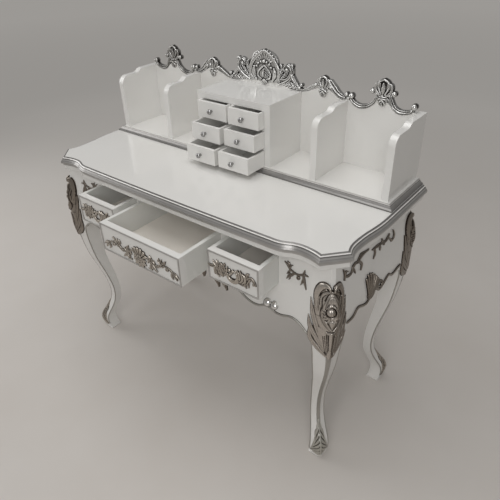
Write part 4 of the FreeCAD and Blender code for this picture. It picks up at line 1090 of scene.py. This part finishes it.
def tray_finish():
    """Lacquered drawer sides over a warmer bottom, bare wood in colour but made paler than wood: painted
    light on the drawer floors.
    """
    finish = lacquer("drawer_panel", (0.74, 0.74, 0.71), (0.7, 0.695, 0.66), 0.4, 0.2)
    normal = finish.axes(finish.new("NewGeometry")["True Normal"])
    faces_up = finish.span(normal["Z"], 0.7, 0.8)
    low = finish.span(finish.axes(finish.place())["Z"], 0.66, 0.65)
    cloud = finish.span(finish.noise(6), 0.3, 0.7)
    # The bottom's colour is raised above bare wood's as painted light.
    wood_with_painted_light = finish.mix(cloud, (0.95, 0.905, 0.84), (0.9, 0.85, 0.775))
    finish.lay_over(finish.maths("MULTIPLY", faces_up, low), wood_with_painted_light)
    return finish.material


def dress(knob, bright):
    """Give every node its finish; the plain lacquer is returned."""
    white = ((0.80, 0.79, 0.765), (0.77, 0.755, 0.725))
    main = lacquer("ivory_lacquer", *white).material
    panel = tray_finish()
    leg = leg_finish(white)
    desk_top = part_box("desktop")[1].z / MM
    base_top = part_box("gallery_base")[1].z / MM
    # In the edge and base mouldings the bright bead bands are painted highlights, and the darkest lines
    # are partly painted shade in the quirks, over the silver's own greys.
    edge = banded("edge_moulding", desk_top, [
        (0, 0.2), (1.5, 0.24), (2.1, 0.95), (3.9, 0.92), (4.5, 0.13), (6.2, 0.2), (7.2, 0.46),
        (10.2, 0.46), (11, 0.26), (12.2, 0.37), (15.4, 0.35), (16.2, 0.24), (17.4, 0.53),
        (20, 0.62), (28, 0.5)])
    base = banded("base_moulding", base_top, [
        (0, 0.5), (0.8, 0.95), (2.4, 0.9), (3.2, 0.18), (5, 0.4), (10.5, 0.52), (11.5, 0.24),
        (12.2, 0.58), (14.6, 0.5), (16, 0.15)])
    line = banded("drawer_moulding", desk_top, [(0, 0.5), (400, 0.5)])
    chosen = {"desktop_edge_moulding": edge, "gallery_base_moulding": base}
    by_slot = {"silver_leaf": bright, "bright_knob": knob, "bare_wood": panel}
    slots = {row["node"]: row["material_slot"] for row in frame["record"]["subparts"]}
    for name, obj in NODES.items():
        finish = by_slot.get(slots[name], main)
        if name.startswith("leg_"):
            finish = leg
        if name.endswith("_drawer_moulding"):
            finish = line
        obj.data.materials.clear()
        obj.data.materials.append(chosen.get(name, finish))
    return main


# ---- studio
def stage():
    """A floor of light colour, darker in colour towards the distance, that glows for the camera and in
    reflections, more with distance: painted light. Dim world light and three soft lamps.
    """
    bpy.ops.mesh.primitive_plane_add(size=60.0, location=(0.0, 0.0, 0.0))
    floor = bpy.context.object
    floor.name = "floor"
    finish = Finish("floor", (0.5, 0.48, 0.46), 0.9)
    away = finish.new("VectorMath", {0: finish.place()}, operation="LENGTH")["Value"]
    cloud = finish.span(finish.noise(1.3), 0.3, 0.7)
    near = finish.mix(cloud, (0.66, 0.625, 0.59), (0.62, 0.58, 0.54))
    finish.set("Base Color", finish.mix(finish.span(away, 0.8, 4.0), near, (0.5, 0.48, 0.455)))
    # The floor's glow is painted light: seen only by camera and glossy rays, more with distance, and
    # lighting nothing else.
    ray = finish.new("LightPath")
    seen = finish.maths("MAXIMUM", ray["Is Camera Ray"], ray["Is Glossy Ray"])
    further = finish.span(away, 3.5, 9.0, 0.0, 0.06)
    painted_glow = finish.maths("ADD", finish.span(away, 0.9, 3.5, 0.0, 0.14), further)
    finish.set("Emission Color", (1.0, 0.97, 0.93))
    finish.set("Emission Strength", finish.maths("MULTIPLY", seen, painted_glow))
    floor.data.materials.append(finish.material)
    world = bpy.data.worlds.new("studio")
    bpy.context.scene.world = world
    world.use_nodes = True
    background = world.node_tree.nodes["Background"]
    background.inputs["Color"].default_value = (1.0, 0.98, 0.95, 1.0)
    background.inputs["Strength"].default_value = 0.24
    for name, place, size, power in (("key", (1.4, -2.2, 2.2), 1.6, 26.0),
                                     ("side", (-2.4, -0.6, 1.6), 1.6, 16.0),
                                     ("top", (0.0, -0.2, 3.2), 2.0, 28.0)):
        data = bpy.data.lights.new(name, "AREA")
        data.size = size
        data.energy = power
        lamp = bpy.data.objects.new(name, data)
        lamp.location = place
        aim = Vector((0.0, 0.0, 0.7)) - Vector(place)
        lamp.rotation_euler = aim.to_track_quat("-Z", "Y").to_euler()
        bpy.context.scene.collection.objects.link(lamp)


make_camera()
bpy.context.scene.view_settings.view_transform = "Standard"
# The crest's silver is painted darker towards its left end: painted shade.
bright = silver("silver_leaf_bright", (0.66, 0.655, 0.64), (0.035, 0.03, 0.027), 0.6, 0.2,
                shaded_side=("place", -0.1, -0.42, (0.4, 0.39, 0.375)))
dark = silver("silver_leaf_washed", (0.49, 0.445, 0.39), (0.025, 0.017, 0.012), 0.5, 0.25)
# The nearest knee's silver is painted darker on faces turned towards +x: painted shade.
knee = silver("silver_leaf_knee", (0.5, 0.458, 0.415), (0.045, 0.034, 0.026), 0.85, 0.25,
              shaded_side=("facing", 0.6, 0.82, (0.24, 0.205, 0.17)))
# A darker copy of the silver leaf, as painted shade: it goes on the knees other than the nearest, on the
# sprays, shell and beads of the sides, and on the front sprays.
shaded_silver = silver("silver_leaf_shaded", (0.27, 0.235, 0.2), (0.03, 0.02, 0.015), 0.7, 0.28)
band = silver("silver_leaf_band", (0.42, 0.405, 0.375), (0.08, 0.07, 0.06), 0.9, 0.36)
plain_leaf = silver("silver_leaf_foot", (0.55, 0.535, 0.49), (0.07, 0.065, 0.05), 0.9, 0.36)
knob = polished("polished_knob", (0.42, 0.415, 0.41))
ball = polished("polished_ball", (0.85, 0.84, 0.82))
white = dress(knob, bright)
make_crest(bright)
make_legs(knee, shaded_silver, dark, band, plain_leaf, white)
make_aprons(shaded_silver, band, ball)
make_drawers(dark)
stage()
